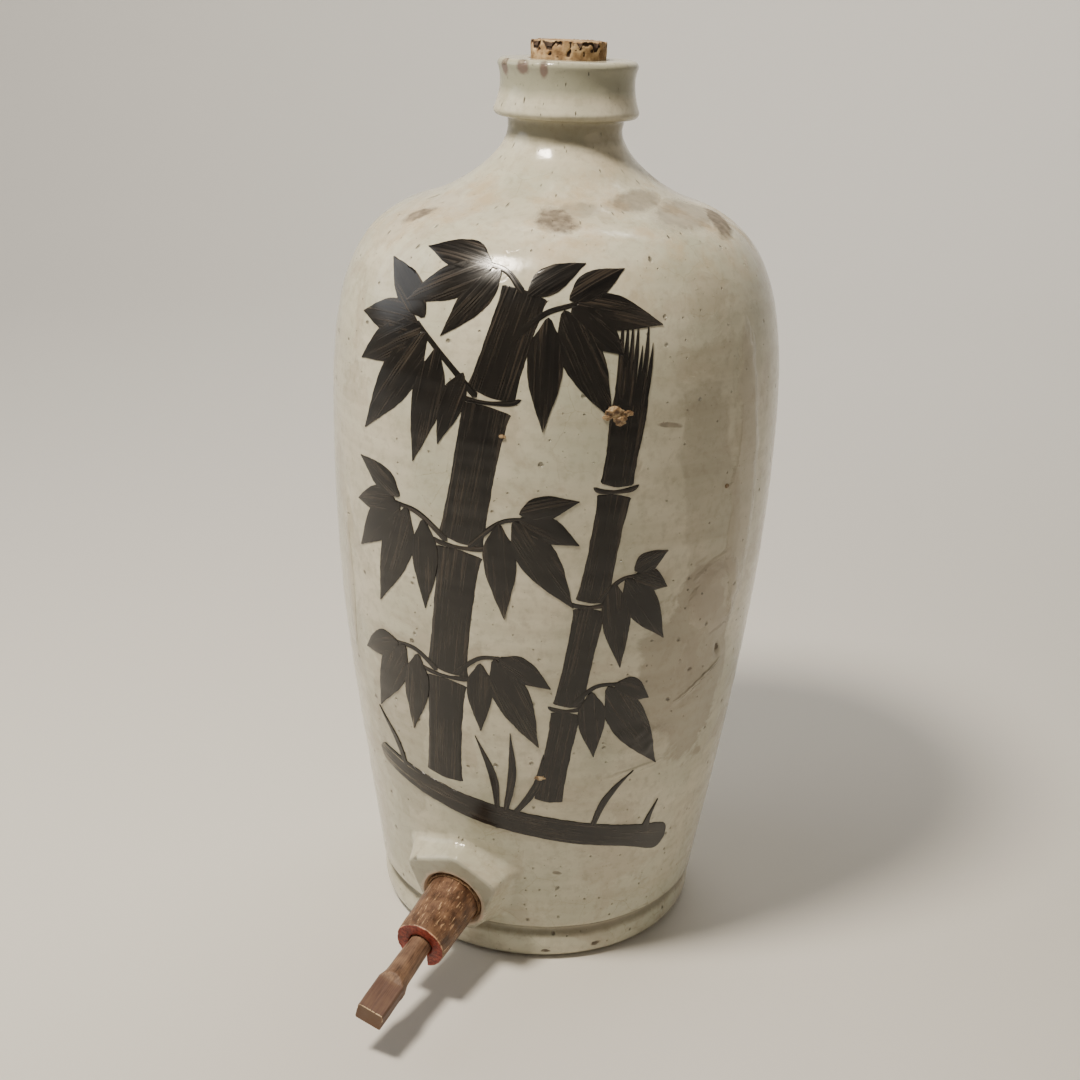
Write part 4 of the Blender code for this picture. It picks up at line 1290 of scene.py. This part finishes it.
shape = bmesh.new()
packing_rings = [[] for _ in range(9)]
for step in range(PACKING_STEPS):
    angle = math.tau * step / PACKING_STEPS
    x, y = math.cos(angle), math.sin(angle)
    outer_edge = BOSS_PROUD - 0.5 + 0.7 * noise.noise((x * 4.0, y * 4.0, 1.0))
    inner_edge = BOSS_PROUD + 0.2 + 0.6 * noise.noise((x * 5.0, y * 5.0, 6.0))
    outer_edge += 0.25 * noise.noise((x * 17.0, y * 17.0, 2.0))
    inner_edge += 0.25 * noise.noise((x * 17.0, y * 17.0, 7.0))
    lap = (PACKING_OUTER + PACKING_INNER) / 2
    section = ((PACKING_OUTER, PACKING_BACK), (PACKING_OUTER, outer_edge - 0.3),
               (PACKING_OUTER - 0.12, outer_edge), (lap + 0.08, outer_edge - 0.05),
               (lap + 0.02, min(outer_edge, inner_edge) - 0.7), (lap - 0.06, inner_edge - 0.05),
               (PACKING_INNER + 0.12, inner_edge), (PACKING_INNER, inner_edge - 0.3),
               (PACKING_INNER - 0.45, PACKING_BACK))
    for ring, (r, z) in zip(packing_rings, section):
        ring.append(shape.verts.new(on_line(r, angle, z)))
skin_over(shape, packing_rings, capped=False)
packing_mesh = finished_mesh("packing", shape)

# Handmade paper soaked brown: blotched and fibrous, with no shine at all
stained_paper, tree = new_material("stained_mulberry_paper")
position = add_node(tree, "TexCoord").outputs["Object"]
blotch = add_node(tree, "TexNoise", {
    "Vector": position, "Scale": 1 / (2.5 * MM), "Detail": 5.0, "Roughness": 0.7})
tone = add_node(tree, "ValToRGB", {0: blotch})
set_stops(tone, (0.35, "#4b3322"), (0.68, "#a5835f"))
bump = add_node(tree, "Bump", {"Strength": 0.8, "Distance": 0.3 * MM, "Height": blotch})
shader = add_node(tree, "BsdfPrincipled", {"Base Color": tone, "Roughness": 0.92, "Normal": bump})
add_node(tree, "OutputMaterial", {"Surface": shader})

packing = add_piece("packing", packing_mesh, stained_paper)
packing.matrix_world = tap_frame
smooth_shade(packing, 50)
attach(packing, "tap")
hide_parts("tap_packing")


# ---------------------------------------------------------------------------------------------
# Barrel: a length of branch with its bark on, bored through, tapered to wedge in the clay, and
# painted vermilion on its cut end. A notch under the end lets the sake out.

BARREL_AT_BOSS = 12.5
BARREL_TIP = 11.7
BARREL_TAIL = 12.0
BARREL_BACK = -12.5
BARREL_FRONT = 40.5
BORE = 5.6
SEAT_FRONT = 5.5
SEAT_RADII = (4.9, 4.4)
NOTCH = (6.0, 12.0)
BARREL_STEPS = 168


def bark(angle, r, z):
    """Bark wrinkles along the barrel's side, and nicks out of its front edge."""
    if r < BARREL_TIP - 0.9:
        return 0.0
    x, y = math.cos(angle), math.sin(angle)
    free = min(1.0, max(0.0, (z - BOSS_PROUD - 1.2) / 2.0))
    wrinkle = 0.16 * noise.noise((x * 9.5, y * 9.5, z / 7.0))
    wrinkle += 0.10 * noise.noise((x * 22.0, y * 22.0, z / 3.5))
    lumps = 0.34 * noise.noise((x * 1.6, y * 1.6, z / 13.0))
    worn = 0.55 * max(0.0, (z - 38.6) / 1.9) * max(0.0, noise.noise((x * 6.0, y * 6.0, 3.0)) + 0.1)
    return (wrinkle + lumps) * free - worn - 0.05 * (1.0 - free)


outer_side = []
rows = 70
for row in range(rows + 1):
    z = BARREL_FRONT - 0.45 - (BARREL_FRONT - 0.45 - BARREL_BACK) * row / rows
    if z > BOSS_PROUD:
        r = BARREL_TIP + (BARREL_AT_BOSS - BARREL_TIP) * (BARREL_FRONT - z) / (BARREL_FRONT - BOSS_PROUD)
    else:
        r = BARREL_TAIL + (BARREL_AT_BOSS - BARREL_TAIL) * (z - BARREL_BACK) / (BOSS_PROUD - BARREL_BACK)
    outer_side.append((r, z))
face_line = [(BORE, BARREL_FRONT - 4.0), (BORE, BARREL_FRONT - 1.4), (BORE + 0.25, BARREL_FRONT - 0.7),
             (BORE + 0.7, BARREL_FRONT - 0.35), (7.6, BARREL_FRONT - 0.15), (9.0, BARREL_FRONT - 0.05),
             (10.2, BARREL_FRONT - 0.1), (10.9, BARREL_FRONT), (BARREL_TIP - 0.35, BARREL_FRONT)]
back_line = [(SEAT_RADII[1], BARREL_BACK), (SEAT_RADII[0], SEAT_FRONT), (BORE, SEAT_FRONT + 0.7),
             (BORE, 20.0)]
barrel = add_piece("barrel", turned_mesh("barrel", face_line + outer_side + back_line, BARREL_STEPS, bark))
shape = bmesh.new()
bmesh.ops.create_cube(shape, size=1.0)
bmesh.ops.scale(shape, verts=shape.verts, vec=(NOTCH[0] * MM, 26.0 * MM, NOTCH[1] * 2 * MM))
bmesh.ops.translate(shape, verts=shape.verts, vec=(0.0, -13.0 * MM, BARREL_FRONT * MM))
bmesh.ops.bevel(shape, geom=[e for e in shape.edges if abs(e.verts[0].co.y - e.verts[1].co.y) > 0.02],
                offset=1.2 * MM, segments=3, affect="EDGES", profile=0.5)
notch_box = finished_mesh("notch", shape, closed=False)
join_and_cut(barrel, notch_box, "DIFFERENCE")

# Barked branch wood, handled for years: a warm brown skin rubbed to pale flecks along the grain,
# and a vermilion lacquer on the sawn end that has soaked in unevenly and worn off its edge.
barked, tree = new_material("barked_branch_wood")
position = add_node(tree, "TexCoord").outputs["Object"]
split = add_node(tree, "SeparateXYZ", {0: position})
flat = add_node(tree, "CombineXYZ", {0: split.outputs[0], 1: split.outputs[1]})
radius = add_node(tree, "VectorMath", {0: flat}, operation="LENGTH")
mottle = add_node(tree, "TexNoise", {
    "Vector": position, "Scale": 1 / (6.0 * MM), "Detail": 5.0, "Roughness": 0.65})
grained = add_node(tree, "Mapping", {
    "Vector": position, "Scale": (1 / (0.8 * MM), 1 / (0.8 * MM), 1 / (4.5 * MM))})
fibre = add_node(tree, "TexNoise", {
    "Vector": grained, "Scale": 1.0, "Detail": 3.0, "Roughness": 0.55})
skin = add_node(tree, "ValToRGB", {0: mottle})
set_stops(skin, (0.34, "#4b3425"), (0.50, "#6e4f3a"), (0.68, "#8c6a4e"))
colour, _ = lay_tints(tree, skin, ((fibre, 0.44, 0.34, 0.70, "#3c2515"),
                                   (fibre, 0.60, 0.67, 0.85, "#c9a680")))
end_tone = add_node(tree, "Mapping", {
    "Vector": position, "Scale": (1 / (1.6 * MM), 1 / (1.6 * MM), 1 / (6.0 * MM))})
soaked = add_node(tree, "TexNoise", {
    "Vector": end_tone, "Scale": 1.0, "Detail": 4.0, "Roughness": 0.6})
vermilion = add_node(tree, "ValToRGB", {0: soaked})
set_stops(vermilion, (0.34, "#581a10"), (0.5, "#842c1d"), (0.66, "#a24632"))
on_end = add_node(tree, "MapRange", {
    "Value": split.outputs[2], "From Min": (BARREL_FRONT - 0.30) * MM,
    "From Max": (BARREL_FRONT - 0.20) * MM})
in_wood = add_node(tree, "MapRange", {
    "Value": radius, "From Min": 11.0 * MM, "From Max": 10.6 * MM})
red_part = add_node(tree, "Math", {0: on_end, 1: in_wood}, operation="MAXIMUM")
colour = add_node(tree, "Mix", {0: red_part, 6: colour, 7: vermilion}, data_type="RGBA")
edge_ring = add_node(tree, "Math", {0: soaked, 1: 0.9 * MM, 2: radius}, operation="MULTIPLY_ADD")
rubbed_out = add_node(tree, "MapRange", {
    "Value": edge_ring, "From Min": 11.95 * MM, "From Max": 12.15 * MM})
near_end = add_node(tree, "MapRange", {
    "Value": split.outputs[2], "From Min": (BARREL_FRONT - 0.9) * MM,
    "From Max": (BARREL_FRONT - 0.4) * MM})
rubbed = add_node(tree, "Math", {0: rubbed_out, 1: near_end}, operation="MULTIPLY")
colour = add_node(tree, "Mix", {0: rubbed, 6: colour, 7: "#d3ab88"}, data_type="RGBA")
relief = add_node(tree, "Math", {0: mottle, 1: 0.5, 2: fibre}, operation="MULTIPLY_ADD")
bump = add_node(tree, "Bump", {"Strength": 0.75, "Distance": 0.4 * MM, "Height": relief})
polish = add_node(tree, "MapRange", {
    "Value": mottle, "From Min": 0.3, "From Max": 0.7, "To Min": 0.36, "To Max": 0.62})
shader = add_node(tree, "BsdfPrincipled", {
    "Base Color": colour, "Roughness": polish, "Normal": bump})
add_node(tree, "OutputMaterial", {"Surface": shader})

barrel.data.materials.clear()
barrel.data.materials.append(barked)
barrel.matrix_world = tap_frame
smooth_shade(barrel, 40)
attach(barrel, "tap")
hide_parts("tap_barrel")


# ---------------------------------------------------------------------------------------------
# Plug: one whittled stick. Its tapered tip shuts the barrel's seat, its round shank fills the
# bore, and its outer end is left thicker and cut flat above and below for finger and thumb.

PLUG_BACK = -11.5
PLUG_FRONT = 83.5
PLUG_TIP_RADIUS = 4.13
PLUG_SEATED_RADIUS = 4.6
SHANK = 5.1
GRIP_START = 66.5
GRIP_ROOT = 5.7
GRIP_HALF_WIDTH = 6.15
GRIP_HALF_THICKNESS = 4.8
GRIP_TURN = math.radians(-17)
PLUG_STEPS = 120


def plug_section(z, angle):
    """The stick's reach from its line: round, then cut by the four knife faces of the grip."""
    if z <= SEAT_FRONT:
        widening = (PLUG_SEATED_RADIUS - PLUG_TIP_RADIUS) / (SEAT_FRONT - PLUG_BACK)
        return PLUG_TIP_RADIUS + widening * (z - PLUG_BACK)
    if z <= SEAT_FRONT + 0.8:
        return PLUG_SEATED_RADIUS + (SHANK - PLUG_SEATED_RADIUS) * (z - SEAT_FRONT) / 0.8
    if z <= BARREL_FRONT + 1.0:
        return SHANK
    outward = (z - BARREL_FRONT - 1.0) / (GRIP_START - 6.0 - BARREL_FRONT - 1.0)
    radius = SHANK + (GRIP_ROOT - SHANK) * min(1.0, outward)
    swell = min(1.0, max(0.0, (z - GRIP_START + 7.0) / 8.0))
    radius += (7.35 - GRIP_ROOT) * swell * swell * (3 - 2 * swell)
    x, y = math.cos(angle), math.sin(angle)
    slack = GRIP_START - 0.6 - z
    for nx, ny, reach, ramp, late in ((0, 1, GRIP_HALF_THICKNESS, 0.50, 0.0),
                                      (0, -1, GRIP_HALF_THICKNESS, 0.40, 1.2),
                                      (1, 0, GRIP_HALF_WIDTH, 0.35, 2.0),
                                      (-1, 0, GRIP_HALF_WIDTH, 0.35, 0.6),
                                      (0.79, 0.61, 7.15, 0.30, 2.4), (-0.78, 0.62, 7.2, 0.30, 1.6)):
        limit = reach + max(0.0, slack + late) * ramp
        facing = nx * x + ny * y
        if facing > 0.05:
            radius = min(radius, limit / facing)
    return radius


shape = bmesh.new()
wear_and_highlight_layer = shape.verts.layers.float.new("wear_and_highlight")
plug_rows = [PLUG_BACK, PLUG_BACK + 0.3, -6.0, 0.0, SEAT_FRONT, SEAT_FRONT + 0.8, 14.0, 22.0, 30.0, 36.0]
plug_rows += [BARREL_FRONT - 3.0 + 1.2 * k for k in range(16)]
while plug_rows[-1] < PLUG_FRONT - 1.2:
    plug_rows.append(plug_rows[-1] + 0.55)
plug_rows += [PLUG_FRONT - 0.7, PLUG_FRONT - 0.35, PLUG_FRONT - 0.12]
plug_rings = []
for z in plug_rows:
    ring = []
    for step in range(PLUG_STEPS):
        angle = math.tau * step / PLUG_STEPS
        reach = plug_section(z, angle)
        x, y = math.cos(angle), math.sin(angle)
        free = min(1.0, max(0.0, (z - BARREL_FRONT - 1.5) / 3.0))
        reach += free * (0.12 * noise.noise((x * 2.0, y * 2.0, z / 8.0))
                         + 0.05 * noise.noise((x * 11.0, y * 11.0, z / 5.0)))
        reach -= 0.4 if z == PLUG_BACK else 0.0
        # the end's edge: pale knocks, stronger along the upper edge as a painted highlight
        knock_and_highlight = (0.95 if y > 0.25 else 0.58) * (1.0 + 0.7 * noise.noise((x * 4.0, y * 4.0, 6.0)))
        turned = angle + GRIP_TURN
        made = shape.verts.new(on_line(reach, turned, z))
        made[wear_and_highlight_layer] = knock_and_highlight if z > PLUG_FRONT - 0.5 else 0.0
        ring.append(made)
    plug_rings.append(ring)
for share in (0.97, 0.93, 0.75, 0.5, 0.25):
    ring = []
    for step in range(PLUG_STEPS):
        angle = math.tau * step / PLUG_STEPS
        reach = plug_section(PLUG_FRONT, angle) * share
        turned = angle + GRIP_TURN
        saw = 0.08 * noise.noise((reach * math.sin(angle) / 0.7, 0.0, 4.0)) if share < 0.95 else 0.0
        sunk = 0.04 if share > 0.95 else 0.12
        made = shape.verts.new(on_line(reach, turned, PLUG_FRONT - sunk + saw))
        # the same pale edge on the end face, with the painted highlight along its upper side
        upper = 0.95 if math.sin(angle) > 0.25 else 0.58
        made[wear_and_highlight_layer] = upper if share > 0.95 else 0.0
        ring.append(made)
    plug_rings.append(ring)
skin_over(shape, plug_rings)
plug_solid = finished_mesh("plug", shape)

# Close-grained wood, unvarnished and polished by hands: tan with fine lengthwise grain, redder
# and darker on the knife faces, brown end grain, and pale where the end's edge has been knocked,
# the upper edge paler still as a painted highlight.
whittled, tree = new_material("whittled_hardwood")
position = add_node(tree, "TexCoord").outputs["Object"]
split = add_node(tree, "SeparateXYZ", {0: position})
wear_and_highlight = add_node(tree, "Attribute", attribute_name="wear_and_highlight").outputs["Fac"]
grained = add_node(tree, "Mapping", {
    "Vector": position, "Scale": (1 / (0.6 * MM), 1 / (0.6 * MM), 1 / (14.0 * MM))})
fibre = add_node(tree, "TexNoise", {
    "Vector": grained, "Scale": 1.0, "Detail": 4.0, "Roughness": 0.6})
mottle = add_node(tree, "TexNoise", {
    "Vector": position, "Scale": 1 / (7.0 * MM), "Detail": 4.0, "Roughness": 0.6})
blend = add_node(tree, "Math", {0: mottle, 1: 0.9, 2: fibre}, operation="MULTIPLY_ADD")
tone = add_node(tree, "ValToRGB", {0: add_node(tree, "MapRange", {
    "Value": blend, "From Min": 0.70, "From Max": 1.18})})
set_stops(tone, (0.0, "#4e392c"), (0.5, "#775b48"), (1.0, "#927458"))
# knocks and the painted highlight on the end's edge
knocked_and_lit = add_node(tree, "Math", {0: wear_and_highlight, 1: fibre}, operation="MULTIPLY")
along = split.outputs[2]
colour, _ = lay_tints(tree, tone, (
    (along, (GRIP_START - 1.5) * MM, (GRIP_START + 1.5) * MM, 0.65, "#5c4139"),
    (along, (PLUG_FRONT - 0.22) * MM, (PLUG_FRONT - 0.16) * MM, 0.80, "#6b4c33"),
    (knocked_and_lit, 0.34, 0.44, 1.0, "#dcc39c")))
bump = add_node(tree, "Bump", {"Strength": 0.4, "Distance": 0.12 * MM, "Height": blend})
polish = add_node(tree, "MapRange", {
    "Value": mottle, "From Min": 0.3, "From Max": 0.7, "To Min": 0.46, "To Max": 0.66})
shader = add_node(tree, "BsdfPrincipled", {
    "Base Color": colour, "Roughness": polish, "Normal": bump})
add_node(tree, "OutputMaterial", {"Surface": shader})

plug = add_piece("plug", plug_solid, whittled)
plug.matrix_world = tap_frame
smooth_shade(plug, 28)
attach(plug, "plug")
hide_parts("tap_plug")
